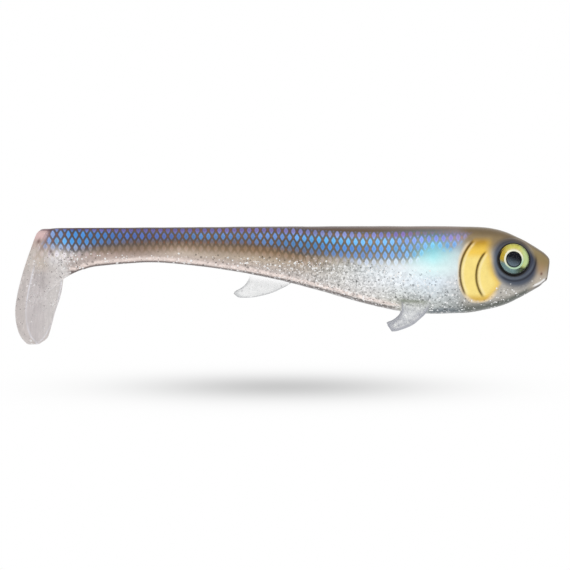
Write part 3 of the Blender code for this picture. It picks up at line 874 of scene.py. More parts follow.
def full_skin():
    """Rings of the whole fish with its relief, the plain rings that carry its paint, and the seams."""
    ends = (HEAD_END, *SEAMS, STEM_END)
    lengths = [spaced(-HEAD_SPACING, HEAD_END, HEAD_SPACING)]
    for start, end, spacing in zip(ends, ends[1:], BODY_SPACINGS):
        lengths.append(spaced(start, end, spacing)[1:])
    stations = np.concatenate(lengths)
    body = body_rings(stations)
    along = np.gradient(body, axis=0)
    around = np.roll(body, -1, axis=1) - np.roll(body, 1, axis=1)
    normal = np.cross(around, along)
    normal /= np.maximum(np.linalg.norm(normal, axis=-1, keepdims=True), 1e-9)
    outward = np.sign(np.sum(normal * (body - body.mean(1, keepdims=True)), axis=-1).mean())
    raised = body + outward * normal * relief(body)[..., None]
    nose, tail = nose_rings(), paddle_rings()
    plain = np.concatenate([nose, body, tail])
    shaped = lean_nose(np.concatenate([nose, raised, tail]))
    cuts = [len(nose) + int(np.argmin(np.abs(stations - seam))) for seam in SEAMS]
    return shaped, plain, cuts


# ---------------------------------------------------------------- mesh building

@contextmanager
def edited(piece):
    """The piece's mesh, open for edits that are written back afterwards."""
    mesh = bmesh.new()
    mesh.from_mesh(piece.data)
    yield mesh
    mesh.to_mesh(piece.data)
    mesh.free()


def add_fields(mesh, fields):
    """Stores values for each vertex, which the materials read by name."""
    for name, values in fields.items():
        values = np.asarray(values, np.float32)
        if values.ndim == 2:
            attribute = mesh.attributes.new(name, "FLOAT_VECTOR", "POINT")
            attribute.data.foreach_set("vector", values.ravel())
        else:
            attribute = mesh.attributes.new(name, "FLOAT", "POINT")
            attribute.data.foreach_set("value", values)


def make_object(name, points, faces, materials, fields=None):
    """Smooth mesh object from millimetre points in the stored pose."""
    mesh = bpy.data.meshes.new(name)
    mesh.from_pydata((np.asarray(points) * MM).tolist(), [], faces)
    mesh.validate()
    mesh.update()
    for material in materials:
        mesh.materials.append(material)
    if fields:
        add_fields(mesh, fields)
    mesh.shade_smooth()
    result = bpy.data.objects.new(name, mesh)
    bpy.context.scene.collection.objects.link(result)
    return result


def grid_faces(rows, columns):
    """Quads of a tube of rings, closed around."""
    faces = []
    for i in range(rows - 1):
        for j in range(columns):
            k = (j + 1) % columns
            a = i * columns
            faces.append((a + j, a + k, a + columns + k, a + columns + j))
    return faces


def skin_piece(name, shaped, plain, materials):
    """One length of the skin, with its fields."""
    points = kicked(shaped).reshape(-1, 3)
    rest = plain.reshape(-1, 3)
    piece = make_object(name, points, grid_faces(len(shaped), RING_POINTS), materials, skin_fields(rest))
    with edited(piece) as mesh:
        bmesh.ops.remove_doubles(mesh, verts=mesh.verts, dist=MERGE_DISTANCE)
        bmesh.ops.recalc_face_normals(mesh, faces=mesh.faces)
    return piece


def cut_level(piece, height, keep_above):
    """Cuts a piece at a height and keeps one side."""
    with edited(piece) as mesh:
        bmesh.ops.bisect_plane(
            mesh, geom=list(mesh.verts) + list(mesh.edges) + list(mesh.faces), dist=MERGE_DISTANCE,
            plane_co=(0.0, 0.0, height * MM), plane_no=(0.0, 0.0, 1.0),
            clear_outer=not keep_above, clear_inner=keep_above,
        )


# ---------------------------------------------------------------- materials

class Nodes:
    """Short ways to add and join shader nodes in one material."""

    def __init__(self, name):
        self.material = bpy.data.materials.new(name)
        self.material.use_nodes = True
        self.tree = self.material.node_tree
        self.shader = self.tree.nodes["Principled BSDF"]
        self.output = self.tree.nodes["Material Output"]

    def link(self, source, target):
        """Joins an output to an input, or sets the input to a number, a vector or a colour."""
        if isinstance(source, (int, float)):
            target.default_value = source
        elif isinstance(source, (tuple, np.ndarray)):
            target.default_value = (*source, 1.0) if target.type == "RGBA" else source
        else:
            self.tree.links.new(source, target)

    def add(self, kind, inputs=()):
        """New shader node with (name or number, value) pairs for its inputs."""
        node = self.tree.nodes.new("ShaderNode" + kind)
        for key, value in inputs:
            self.link(value, node.inputs[key])
        return node

    def math(self, operation, first, second=0.0, third=0.0):
        """Number from a sum on up to three numbers."""
        node = self.add("Math")
        node.operation = operation
        for value, socket in zip((first, second, third), node.inputs):
            self.link(value, socket)
        return node.outputs[0]

    plus = partialmethod(math, "ADD")
    minus = partialmethod(math, "SUBTRACT")
    times = partialmethod(math, "MULTIPLY")
    over = partialmethod(math, "DIVIDE")
    most = partialmethod(math, "MAXIMUM")
    linear = partialmethod(math, "MULTIPLY_ADD")      # value, gain and base

    def vector(self, operation, first, second=(0.0, 0.0, 0.0)):
        """Vector from a sum on two vectors, or on a vector and a number for a scale."""
        node = self.add("VectorMath")
        node.operation = operation
        self.link(first, node.inputs[0])
        self.link(second, node.inputs["Scale" if operation == "SCALE" else 1])
        return node.outputs["Vector"]

    scale = partialmethod(vector, "SCALE")

    def step(self, value, low, high):
        """Smooth 0 to 1 as value goes from low to high."""
        node = self.add("MapRange")
        node.interpolation_type = "SMOOTHSTEP"
        for name, number in (("Value", value), ("From Min", low), ("From Max", high)):
            self.link(number, node.inputs[name])
        return node.outputs["Result"]

    def attribute(self, name, kind="Fac"):
        """Number or vector that is stored at each vertex."""
        node = self.add("Attribute")
        node.attribute_name = name
        return node.outputs[kind]

    def blend(self, amount, first, second):
        """Colour between two colours."""
        node = self.add("Mix")
        node.data_type = "RGBA"
        for key, value in ((0, amount), (6, first), (7, second)):
            self.link(value, node.inputs[key])
        return node.outputs[2]

    def noise(self, where, scale, detail=2.0, roughness=0.5):
        """Cloudy number."""
        inputs = (("Vector", where), ("Scale", scale), ("Detail", detail), ("Roughness", roughness))
        return self.add("TexNoise", inputs).outputs["Fac"]

    def cells(self, where, scale):
        """Distance from the nearest of many scattered points, and a random colour for each point."""
        node = self.add("TexVoronoi", (("Vector", where), ("Scale", scale)))
        return node.outputs["Distance"], node.outputs["Color"]

    def split(self, vector):
        """The three numbers of a vector."""
        return self.add("SeparateXYZ", ((0, vector),)).outputs

    def join(self, *numbers):
        """Vector of three numbers."""
        return self.add("CombineXYZ", enumerate(numbers)).outputs[0]

    def bump(self, height, strength, distance):
        """Normal of a surface with a little relief."""
        inputs = (("Strength", strength), ("Distance", distance), ("Height", height))
        return self.add("Bump", inputs).outputs["Normal"]

    def finished(self, inputs):
        """The material, once the shader has its inputs."""
        for name, value in inputs.items():
            self.link(value, self.shader.inputs[name])
        return self.material

    def surface(self, shader):
        """The material with another shader than the standard one."""
        self.tree.nodes.remove(self.shader)
        self.link(shader, self.output.inputs["Surface"])
        return self.material


def flake_layer(nodes, where, scale, share, size):
    """One scatter of glitter: which points are flake, a random number and a random tilt for each flake."""
    distance, random = nodes.cells(where, scale)
    red, green, blue = nodes.split(random)
    chosen = nodes.math("LESS_THAN", red, share)
    inside = nodes.math("LESS_THAN", distance, nodes.linear(green, 0.6 * size, 0.55 * size))
    return nodes.times(chosen, inside), blue, random


def scale_print(nodes, rest):
    """The scale print's diamonds, its lines and their junctions, each 0 to 1, the distance from the
    middle of the scale, and a random number for each scale."""
    across = nodes.over(nodes.minus(nodes.attribute("print_x"), SCALE_PHASE), SCALE_PITCH)
    half_row = nodes.times(nodes.attribute("scale_row"), 0.5)
    cells, offsets = [], []
    for direction in (nodes.plus(across, half_row), nodes.minus(across, half_row)):
        whole = nodes.math("ROUND", direction)
        cells.append(whole)
        offsets.append(nodes.math("ABSOLUTE", nodes.minus(direction, whole)))
    powers = [nodes.math("POWER", offset, SCALE_ROUNDNESS) for offset in offsets]
    size = nodes.math("POWER", nodes.plus(*powers), 1.0 / SCALE_ROUNDNESS)
    size = nodes.plus(size, nodes.linear(nodes.noise(rest, 0.9, 1.0), 0.07, -0.035))
    diamond = nodes.minus(1.0, nodes.step(size, 0.25, 0.42))
    line = nodes.step(size, 0.25, 0.41)
    junction = nodes.step(nodes.math("MINIMUM", *offsets), 0.25, 0.42)
    scatter = nodes.add("TexWhiteNoise", (("Vector", nodes.join(*cells, 0.0)),))
    return diamond, line, junction, size, scatter.outputs["Value"]


def faint_print(nodes, rest, ground, diamond, line):
    """The print under the blue: rusty streaks, umber lines and lilac scales, all in the ground's tones."""
    ghost = nodes.attribute("ghost_share")
    streak = nodes.noise(nodes.vector("MULTIPLY", rest, (1.1, 1.1, 0.3)), 1.0, 2.0)
    rust = nodes.times(nodes.step(streak, 0.42, 0.66), nodes.times(ghost, 0.5))
    umber, lilac = nodes.times(nodes.times(line, ghost), 0.62), nodes.times(diamond, ghost)
    for share, tint in (
        (rust, (0.88, 0.74, 0.54)), (umber, (0.66, 0.57, 0.47)), (lilac, (1.24, 1.17, 1.28))
    ):
        ground = nodes.blend(share, ground, nodes.vector("MULTIPLY", ground, tint))
    return ground


def glitter_over(nodes, rest, colour, clear):
    """A colour with silver flake over it, how much flake there is, and how the flakes lean."""
    glitter = nodes.attribute("glitter")
    _, speck = nodes.cells(nodes.vector("ADD", rest, (3.1, 9.7, 1.3)), 1.15)
    grain = nodes.times(nodes.minus(nodes.split(speck)[0], 0.53), glitter)
    colour = nodes.scale(colour, nodes.linear(grain, 0.5, 1.0))
    beside = nodes.vector("ADD", rest, (31.7, 5.3, 12.9))
    layers = (
        flake_layer(nodes, rest, 0.95, nodes.times(glitter, 0.42), 0.5),
        flake_layer(nodes, beside, 1.5, nodes.times(glitter, 0.5), 0.5),
    )
    flake, leans = 0.0, []
    for mask, shade, random in layers:
        dull = nodes.scale(colour, nodes.linear(clear, 0.26, 0.5))
        pale = nodes.blend(nodes.step(shade, 0.4, 0.8), nodes.scale(colour, 1.25), (1.0, 1.0, 1.0))
        flake_colour = nodes.blend(nodes.step(shade, 0.28, 0.5), dull, pale)
        colour = nodes.blend(nodes.times(mask, 0.9), colour, flake_colour)
        leans.append(
            nodes.scale(nodes.vector("SUBTRACT", random, (0.5, 0.5, 0.5)), nodes.times(mask, 0.7))
        )
        flake = nodes.most(mask, flake)
    return colour, flake, nodes.vector("ADD", *leans)


def skin_material():
    """Printed two-colour soft plastic: ground paint, blue scales, glitter and a wet gloss."""
    nodes = Nodes("swimbait_skin")
    rest = nodes.attribute("rest", "Vector")
    clear = nodes.attribute("clear")
    mottle = nodes.noise(rest, 0.35, 3.0, 0.6)
    fine = nodes.noise(rest, 2.6, 3.0, 0.65)
    tone = nodes.times(nodes.linear(mottle, 0.22, 0.89), nodes.linear(fine, 0.24, 0.88))
    ground = nodes.scale(nodes.attribute("paint", "Vector"), tone)
    strands = nodes.noise(nodes.vector("MULTIPLY", rest, (0.5, 0.75, 0.12)), 1.0, 2.0)
    strands = nodes.times(nodes.minus(strands, 0.5), clear)
    ground = nodes.scale(ground, nodes.linear(strands, 0.36, 1.0))

    diamond, line, junction, size, random = scale_print(nodes, rest)
    ground = faint_print(nodes, rest, ground, diamond, line)
    net = nodes.attribute("net_paint", "Vector")
    net = nodes.blend(junction, net, nodes.vector("MULTIPLY", net, (2.1, 1.0, 0.52)))
    ground = nodes.blend(nodes.times(line, nodes.attribute("net_share")), ground, net)
    core = nodes.linear(nodes.step(size, 0.36, 0.02), -0.16, 1.06)
    tone = nodes.times(nodes.times(nodes.linear(random, 0.26, 0.86), core), nodes.linear(fine, 0.5, 0.75))
    share = nodes.attribute("scale_share")
    printed = nodes.times(diamond, nodes.times(share, nodes.step(nodes.plus(share, mottle), 0.35, 0.9)))
    colour = nodes.blend(printed, ground, nodes.scale(nodes.attribute("scale_paint", "Vector"), tone))

    colour, flake, tilt = glitter_over(nodes, rest, colour, clear)
    skin_bump = nodes.bump(nodes.noise(rest, 1.3, 3.0, 0.6), 0.25, 0.00025)
    metal = nodes.most(nodes.times(flake, 0.55), nodes.times(nodes.attribute("pearl"), 0.22))
    return nodes.finished(
        {
            "Base Color": colour, "Metallic": nodes.most(metal, nodes.times(printed, 0.3)),
            "Roughness": nodes.minus(nodes.linear(fine, 0.16, 0.24), nodes.times(flake, 0.05)),
            "Normal": nodes.vector("NORMALIZE", nodes.vector("ADD", skin_bump, tilt)),
            "Transmission Weight": nodes.times(clear, 0.25), "Coat Weight": 0.15, "Coat Roughness": 0.12,
            "IOR": 1.4
        }
    )


def fin_material(name, shadow, milk, rim_colour, density):
    """Thin clear plastic: milky web, greyer rim, haze, and a little glitter near its surface."""
    nodes = Nodes(name)
    rest = nodes.attribute("rest", "Vector")
    stain = nodes.attribute("stain")
    haze = nodes.noise(rest, 0.45, 4.0, 0.65)
    rim = nodes.step(nodes.attribute("edge"), 1.5, 0.2)
    base = nodes.blend(nodes.step(haze, 0.38, 0.66), shadow, milk)
    base = nodes.blend(nodes.times(rim, 0.8), base, rim_colour)
    base = nodes.blend(stain, base, srgb(70, 64, 62))
    mask, shade, _ = flake_layer(nodes, rest, 1.0, 0.07, 0.45)
    flake_colour = nodes.blend(nodes.step(shade, 0.3, 0.5), srgb(140, 138, 142), (1.0, 1.0, 1.0))
    alpha = nodes.linear(rim, 0.34 * density, nodes.linear(haze, 0.25, 0.42 * density))
    alpha = nodes.most(alpha, nodes.times(mask, 0.85))
    alpha = nodes.times(alpha, nodes.step(nodes.attribute("span"), 0.0, 0.3))
    return nodes.finished(
        {
            "Base Color": nodes.blend(nodes.times(mask, 0.8), base, flake_colour),
            "Metallic": nodes.times(mask, 0.4), "Roughness": nodes.linear(haze, 0.15, 0.14),
            "Normal": nodes.bump(nodes.noise(rest, 0.8, 3.0, 0.6), 0.35, 0.0004),
            "Alpha": nodes.most(alpha, stain), "IOR": 1.38, "Coat Weight": 0.2, "Coat Roughness": 0.08
        }
    )


def flake_material():
    """Silver flakes cast inside the clear plastic."""
    nodes = Nodes("silver_flake")
    shade = nodes.step(nodes.noise(nodes.attribute("rest", "Vector"), 0.8, 2.0), 0.35, 0.65)
    colour = nodes.blend(shade, srgb(150, 148, 150), (0.96, 0.96, 0.97))
    return nodes.finished({"Base Color": colour, "Metallic": 0.9, "Roughness": 0.22})


def iris_material():
    """Printed metallic foil: lime above, gold behind and grey-green below, with fine rays, a painted
    highlight above the pupil ring and a painted shadow at its lower-left edge.
    """
    nodes = Nodes("eye_iris_foil")
    across, above, radius = nodes.split(nodes.attribute("eye_place", "Vector"))
    outwards = [nodes.times(nodes.over(part, nodes.most(radius, 0.1)), 14.0) for part in (across, above)]
    rays = nodes.noise(nodes.join(*outwards, nodes.times(radius, 0.35)), 1.0, 3.0, 0.6)
    lime, gold, pale = srgb(224, 218, 104), srgb(200, 168, 38), srgb(204, 226, 158)
    slate, olive = srgb(112, 142, 142), srgb(62, 76, 44)
    colour = nodes.blend(nodes.step(across, -1.0, -5.5), lime, gold)
    colour = nodes.blend(nodes.step(across, 1.5, 5.5), colour, pale)
    # Painted highlight: a pale patch above the pupil ring.
    cream_highlight = nodes.times(nodes.step(above, 2.0, 4.5), nodes.step(radius, 5.4, 4.3))
    colour = nodes.blend(nodes.times(cream_highlight, 0.6), colour, srgb(252, 232, 190))
    low = nodes.step(nodes.plus(above, nodes.times(across, 0.25)), -1.2, -3.2)
    colour = nodes.blend(low, colour, nodes.blend(nodes.step(across, -1.0, 3.5), slate, olive))
    # Painted shadow of the socket rim along the foil's lower-left edge.
    lower_left = nodes.step(nodes.plus(above, nodes.times(across, 0.5)), 3.0, -1.0)
    outer = nodes.times(nodes.step(radius, 5.9, 6.25), lower_left)
    colour = nodes.blend(outer, colour, srgb(16, 20, 18))
    return nodes.finished(
        {
            "Base Color": nodes.scale(colour, nodes.linear(rays, 0.5, 0.75)), "Metallic": 0.35,
            "Roughness": nodes.linear(rays, 0.2, 0.25), "Normal": nodes.bump(rays, 0.3, 0.0002)
        }
    )


def ring_material():
    """Pale ring printed around the pupil."""
    nodes = Nodes("eye_pupil_ring")
    place = nodes.attribute("eye_place", "Vector")
    across, above, _ = nodes.split(place)
    grain = nodes.noise(place, 3.0, 2.0)
    low = nodes.step(nodes.minus(above, nodes.times(across, 0.4)), 1.0, -3.5)
    colour = nodes.blend(low, (1.0, 0.99, 0.78), srgb(190, 222, 190))
    return nodes.finished(
        {
            "Base Color": nodes.scale(colour, nodes.linear(grain, 0.15, 0.92)), "Metallic": 0.2,
            "Roughness": nodes.linear(grain, 0.1, 0.25)
        }
    )


def pupil_material():
    """Near-black pupil that greys towards the bottom as a painted reflection of the pale floor."""
    nodes = Nodes("eye_pupil_black")
    place = nodes.attribute("eye_place", "Vector")
    across, above, radius = nodes.split(place)
    grain = nodes.noise(place, 1.4, 3.0)
    # Painted reflection: grey towards the bottom of the pupil.
    height = nodes.linear(grain, 0.8, nodes.plus(above, nodes.times(across, 0.3)))
    colour = nodes.blend(nodes.step(height, 1.6, -3.0), srgb(14, 17, 26), srgb(104, 120, 132))
    colour = nodes.blend(nodes.step(radius, 2.7, 3.4), colour, srgb(10, 12, 14))
    return nodes.finished({"Base Color": colour, "IOR": 1.2, "Roughness": nodes.linear(grain, 0.1, 0.18)})


def dome_material():
    """Clear domed resin: seen through, with a gloss that grows towards its edge."""
    nodes = Nodes("eye_dome_resin")
    scuff = nodes.noise(nodes.attribute("eye_place", "Vector"), 2.0, 3.0)
    clear = nodes.add("BsdfTransparent")
    gloss = nodes.add("BsdfGlossy", (("Roughness", nodes.linear(scuff, 0.04, 0.02)),))
    fresnel = nodes.add("Fresnel", (("IOR", 1.12),))
    blend = nodes.add("MixShader", enumerate(node.outputs[0] for node in (fresnel, clear, gloss)))
    return nodes.surface(blend.outputs[0])


# ---------------------------------------------------------------- eyes

EYE_SEGMENTS = 96
EYE_ANGLES = np.arange(EYE_SEGMENTS) * 2.0 * pi / EYE_SEGMENTS
PUPIL_RADIUS = 3.5
PUPIL_RING_RADIUS = 4.3


def turned_piece(name, eye, profile, materials):
    """Piece turned about the eye's axis from (radius, height) pairs, with each point's place on the eye."""
    rings = []
    for radius, height in profile:
        across, above = radius * np.cos(EYE_ANGLES), radius * np.sin(EYE_ANGLES)
        rings.append(eye.place(across, above, np.full(EYE_SEGMENTS, height)))
    points = np.concatenate(rings)
    offset = points - eye.centre
    across, above = offset @ eye.forward, offset @ eye.up
    fields = {"eye_place": np.stack([across, above, np.hypot(across, above)], axis=-1), "rest": points}
    return make_object(name + eye.name, points, grid_faces(len(profile), EYE_SEGMENTS), materials, fields)


def iris(eye, materials):
    """Foil disc with the printed iris, the ring around the pupil and the pupil, each slightly raised."""
    edge = eye.radius + 0.35
    profile = [(0.02, 0.16), (1.2, 0.16), (2.4, 0.15), (PUPIL_RADIUS - 0.1, 0.13), (PUPIL_RADIUS, 0.06)]
    slots = [2] * (len(profile) - 1)
    bead = [(PUPIL_RADIUS + 0.08, 0.12), (PUPIL_RADIUS + 0.42, 0.17), (PUPIL_RING_RADIUS - 0.08, 0.12)]
    profile += bead + [(PUPIL_RING_RADIUS, 0.03)]
    slots += [1] * (len(bead) + 1)
    outer = [(4.9, 0.03), (5.5, 0.02), (6.0, 0.0), (edge - 0.06, -0.03), (edge, -0.1), (edge, -0.4)]
    profile += outer + [(0.02, -0.4)]
    slots += [0] * (len(outer) + 1)
    piece = turned_piece("eye_iris_", eye, profile, materials)
    for face in piece.data.polygons:
        face.material_index = slots[face.index // EYE_SEGMENTS]
    close_ends(piece)
    return piece


def close_ends(piece):
    """Fills open rims and turns the faces outwards."""
    with edited(piece) as mesh:
        bmesh.ops.holes_fill(mesh, edges=[edge for edge in mesh.edges if edge.is_boundary])
        bmesh.ops.recalc_face_normals(mesh, faces=mesh.faces)
    piece.data.shade_smooth()


def dome(eye, material):
    """Clear dome over the foil."""
    base = 0.35
    rise = eye.lens_height - base - 0.15
    profile = [(eye.radius - 0.05, 0.3)]
    for turn in np.linspace(4.0, 88.0, 22):
        profile.append((eye.radius * cos(radians(turn)) ** 0.9, base + rise * sin(radians(turn))))
    piece = turned_piece("eye_dome_", eye, profile, [material])
    close_ends(piece)
    return piece


def skin_height(eye, radius, angle):
    """Outward distance of the plain skin from the eye's plane at polar places around it."""
    across, above = radius * np.cos(angle), radius * np.sin(angle)
    out = np.full(across.shape, 1.2)
    for _ in range(8):
        point = eye.place(across, above, out)
        error = skin_half_width(point[..., 0], point[..., 2]) - point[..., 1] * eye.side
        out = out + error / (eye.outward[1] * eye.side)
    return out


# Rolled rim outside the eye: distance from the foil's edge and height over the plain skin.
RIM_PROFILE = (
    (0.2, 0.12), (0.4, 0.42), (0.7, 0.62), (1.05, 0.66), (1.4, 0.5), (1.65, 0.3), (1.85, 0.3),
    (2.15, 0.46), (2.5, 0.46), (2.8, 0.32), (3.1, 0.1), (3.4, -0.15), (3.7, -0.5)
)


def eye_rim(eye, material):
    """Rolled rim of the eye socket, which follows the head around the eye."""
    cos_turn, sin_turn = np.cos(EYE_ANGLES), np.sin(EYE_ANGLES)
    inner = eye.radius + 0.12
    rings = [
        eye.place(inner * cos_turn, inner * sin_turn, np.full(EYE_SEGMENTS, out)) for out in (-0.7, 0.2)
    ]
    for reach, rise in RIM_PROFILE:
        radius = eye.radius + reach
        height = skin_height(eye, np.full(EYE_SEGMENTS, radius), EYE_ANGLES) + rise
        rings.append(eye.place(radius * cos_turn, radius * sin_turn, height))
    points = np.array(rings).reshape(-1, 3)
    faces = grid_faces(len(rings), EYE_SEGMENTS)
    piece = make_object("eye_rim_" + eye.name, points, faces, [material], skin_fields(points))
    with edited(piece) as mesh:
        bmesh.ops.recalc_face_normals(mesh, faces=mesh.faces)
    return piece


# ---------------------------------------------------------------- fins

# Fin outlines in millimetres from the hinge: share of the span, leading edge x, z, trailing edge x, z.
PECTORAL_OUTLINE = (
    (0.00, 4.8, -1.2, -8.2, -0.3),
    (0.12, 3.9, -3.4, -8.2, -2.2),
    (0.28, 2.2, -6.3, -8.1, -4.9),
    (0.45, -0.4, -8.8, -8.6, -7.2),
    (0.62, -3.2, -11.1, -10.0, -8.9),
    (0.80, -7.6, -13.1, -12.0, -10.4),
    (0.93, -10.8, -14.05, -13.6, -11.0),
    (1.00, -12.4, -14.3, -14.3, -11.4),
)
ANAL_OUTLINE = (
    (0.00, 8.6, -0.3, -9.6, 2.9),
    (0.12, 7.2, -1.7, -10.2, 0.6),
    (0.30, 4.0, -3.4, -11.2, -1.2),
    (0.50, 0.0, -5.2, -12.4, -2.4),
    (0.70, -4.5, -6.5, -13.8, -3.4),
    (0.86, -9.5, -7.3, -15.3, -4.2),
    (0.96, -13.4, -7.4, -16.3, -5.0),
    (1.00, -14.8, -7.1, -16.5, -5.7),
)
FIN_SINK = 2.7            # a pectoral fin's root sits this far inside its hinge line
ROOT_RINGS = 3            # rings of a fin's root that are hidden inside the body


def blade(outline, rows, columns, rim, web):
    """Fin as rings of (x, z, thickness) from its root to its tip; the rim thickens its leading edge."""
    table = np.array(outline)
    share = np.linspace(0.0, 1.0, rows)
    curves = [monotone_curve(table[:, 0], table[:, i]) for i in range(1, 5)]
    lead_x, lead_z, trail_x, trail_z = [curve(share) for curve in curves]
    turn = np.arange(columns) * 2.0 * pi / columns
    chord = 0.5 - 0.5 * np.cos(turn)
    length = np.hypot(lead_x - trail_x, lead_z - trail_z)[:, None]
    from_lead = chord[None, :] * length
    to_trail = (1.0 - chord)[None, :] * length
    rim = np.minimum(rim, 0.5 * length)
    round_lead = np.sqrt(np.clip(1.0 - ((from_lead - rim) / rim) ** 2, 0.0, 1.0)) * rim
    tube = np.where(from_lead < 2.0 * rim, round_lead, 0.0)
    flat = web * np.sqrt(np.clip(1.0 - (1.0 - np.clip(to_trail / (1.2 * web), 0.0, 1.0)) ** 2, 0.0, 1.0))
    flat = flat * np.sqrt(np.clip(from_lead / (0.8 * web), 0.0, 1.0))
    height = (tube ** 3 + flat ** 3) ** (1.0 / 3.0)
    height = height * np.where(np.sin(turn) >= 0.0, 1.0, -1.0)[None, :]
    x = lead_x[:, None] + (trail_x - lead_x)[:, None] * chord[None, :]
    z = lead_z[:, None] + (trail_z - lead_z)[:, None] * chord[None, :]
    tip = ramp(share, 1.0, 0.93)[:, None] ** 0.5
    edge = np.minimum(np.minimum(from_lead, to_trail), 2.0 * length * (1.0 - share)[:, None] + 0.2)
    return x, z, height * np.clip(tip, 0.15, 1.0), edge


def fin_flakes(points, seed, first_row, count):
    """Middles of flakes scattered between a fin's two sides."""
    rows, columns = points.shape[:2]
    random = np.random.default_rng(seed)
    row, column = random.integers(first_row, rows - 4, count), random.integers(0, columns // 2, count)
    return 0.5 * (points[row, column] + points[row, (columns - column) % columns])


def fin_piece(name, points, edge, inward, materials, flakes, stain_place=None):
    """Fin, its root inside the body and its flakes; a stain is a dark stub of body plastic at the root."""
    root = points[:1] + np.linspace(1.0, 0.0, ROOT_RINGS + 1)[:-1, None, None] * inward
    points = np.concatenate([root, points])
    rows, columns = edge.shape
    flat = points.reshape(-1, 3)
    edge = np.concatenate([np.repeat(edge[:1], ROOT_RINGS, axis=0), edge])
    span = np.concatenate([np.zeros(ROOT_RINGS), np.linspace(0.0, 1.0, rows)])
    stain = np.zeros(len(flat))
    if stain_place is not None:
        stain = bump(np.linalg.norm(flat - stain_place, axis=1), 0.75)
    fields = {"rest": flat, "edge": edge.ravel(), "span": np.repeat(span, columns), "stain": stain}
    piece = make_object(name, flat, grid_faces(len(points), columns), materials[:1], fields)
    close_ends(piece)
    add_flakes(piece, flakes, materials[1])
    return piece


def flake_mesh(centres, seed, radius):
    """Hexagonal platelets at random angles: their points and faces, and the centre for each point."""
    random = np.random.default_rng(seed)
    points, faces, rest = [], [], []
    for centre in centres:
        axis = random.normal(size=3)
        axis /= np.linalg.norm(axis)
        side = np.cross(axis, [0.3, 0.5, 0.81])
        side /= np.linalg.norm(side)
        other = np.cross(axis, side)
        size = radius * random.uniform(0.7, 1.25)
        first = len(points)
        for height in (-0.02, 0.02):
            for k in range(6):
                turn = pi * k / 3.0
                points.append(centre + size * (cos(turn) * side + sin(turn) * other) + height * axis)
                rest.append(centre)
        faces.append(tuple(first + k for k in reversed(range(6))))
        faces.append(tuple(first + 6 + k for k in range(6)))
        for k in range(6):
            j = (k + 1) % 6
            faces.append((first + k, first + j, first + 6 + j, first + 6 + k))
    return np.array(points), faces, np.array(rest)


def add_flakes(piece, centres, material):
    """Adds flakes to a piece's mesh with their own material."""
    points, faces, rest = flake_mesh(centres, seed=5, radius=0.26)
    flakes = make_object(piece.name + "_flakes", points, faces, [material], {"rest": rest})
    flakes.data.shade_flat()
    both = [piece, flakes]
    with bpy.context.temp_override(
        active_object=piece, object=piece, selected_objects=both, selected_editable_objects=both
    ):
        bpy.ops.object.join()


def pectoral_fin(side, name, materials):
    """Pectoral fin on its splay plane, built from the hinge's place at its root."""
    node = "pectoral_fin_" + name
    pivot = hinge("pectoral_flex_" + name)
    low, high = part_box(node)
    outer = max(abs(low.y), abs(high.y)) / MM
    splay = (outer - abs(pivot[1]) - 0.8) / (pivot[2] - low.z / MM)
    x, z, height, edge = blade(PECTORAL_OUTLINE, 46, 72, 0.95, 0.55)
    across = np.array([0.0, side, splay]) / np.hypot(1.0, splay)
    down = np.array([0.0, side * splay, -1.0])
    cup = 0.6 * (z / 14.0) ** 2
    sink = side * FIN_SINK
    points = np.stack([pivot[0] + x, pivot[1] - sink + side * splay * -z, pivot[2] + z], axis=-1)
    points = points + (height + cup)[..., None] * across
    flakes = fin_flakes(points, seed=11, first_row=6, count=16)
    piece = fin_piece(node + "_skin", points, edge, -2.0 * down, materials, flakes)
    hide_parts(node)
    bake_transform(piece)


def anal_fin(materials):
    """Thin fin on the centre line."""
    pivot = hinge("anal_flex")
    x, z, height, edge = blade(ANAL_OUTLINE, 40, 64, 0.55, 0.32)
    points = np.stack([pivot[0] + x, pivot[1] + height, pivot[2] + z], axis=-1)
    flakes = fin_flakes(points, seed=12, first_row=2, count=14)
    up = np.array([0.0, 0.0, 1.0])
    piece = fin_piece(
        "anal_fin_skin", points, edge, 1.6 * up, materials, flakes, stain_place=points[2, 0]
    )
    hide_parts("anal_fin")
    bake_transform(piece)


# ---------------------------------------------------------------- assembly

PADDLE_SEAM = -3.0        # height at which the paddle's skin hands over to the lobe's


def build_skin(material):
    """The skin in five pieces, cut at the rigid stretches and at the paddle's seam."""
    shaped, plain, cuts = full_skin()
    first, second, third = cuts
    front = skin_piece("skin_front", shaped[:first + 1], plain[:first + 1], [material])
    middle = skin_piece("skin_mid", shaped[first:second + 1], plain[first:second + 1], [material])
    rear = skin_piece("skin_rear", shaped[second:third + 1], plain[second:third + 1], [material])
    tail = skin_piece("skin_tail", shaped[third:], plain[third:], [material])
    lobe = skin_piece("skin_lobe", shaped[third:], plain[third:], [material])
    cut_level(tail, PADDLE_SEAM, True)
    cut_level(lobe, PADDLE_SEAM, False)
    for piece, joint in ((front, "body_bend"), (middle, "rear_bend"), (rear, "stem_bend")):
        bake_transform(piece)
    pivot = KICK_HINGE
    end = turned(pivot - np.array([KICK_ZONE, 0.0, 0.0]), 1.0)
    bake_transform(tail)
    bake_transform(lobe)
    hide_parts("trunk_back", "trunk_belly", "flex_front")
    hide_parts("mid_back", "mid_belly", "flex_mid")
    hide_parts("rear_back", "rear_belly", "flex_rear")
    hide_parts("stem_back", "stem_belly", "flex_kick", "paddle_web", "paddle_plate")
    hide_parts("flex_lobe", "paddle_lobe")


def build_eyes(skin):
    """Foil, dome and rim of both eyes."""
    foil = [iris_material(), ring_material(), pupil_material()]
    resin = dome_material()
    for eye in EYES:
        disc = iris(eye, foil)
        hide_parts("eye_foil_" + eye.name)
        cover = dome(eye, resin)
        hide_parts("eye_lens_" + eye.name)
        rim = eye_rim(eye, skin)
        for piece in (disc, cover, rim):
            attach(piece, "trunk")


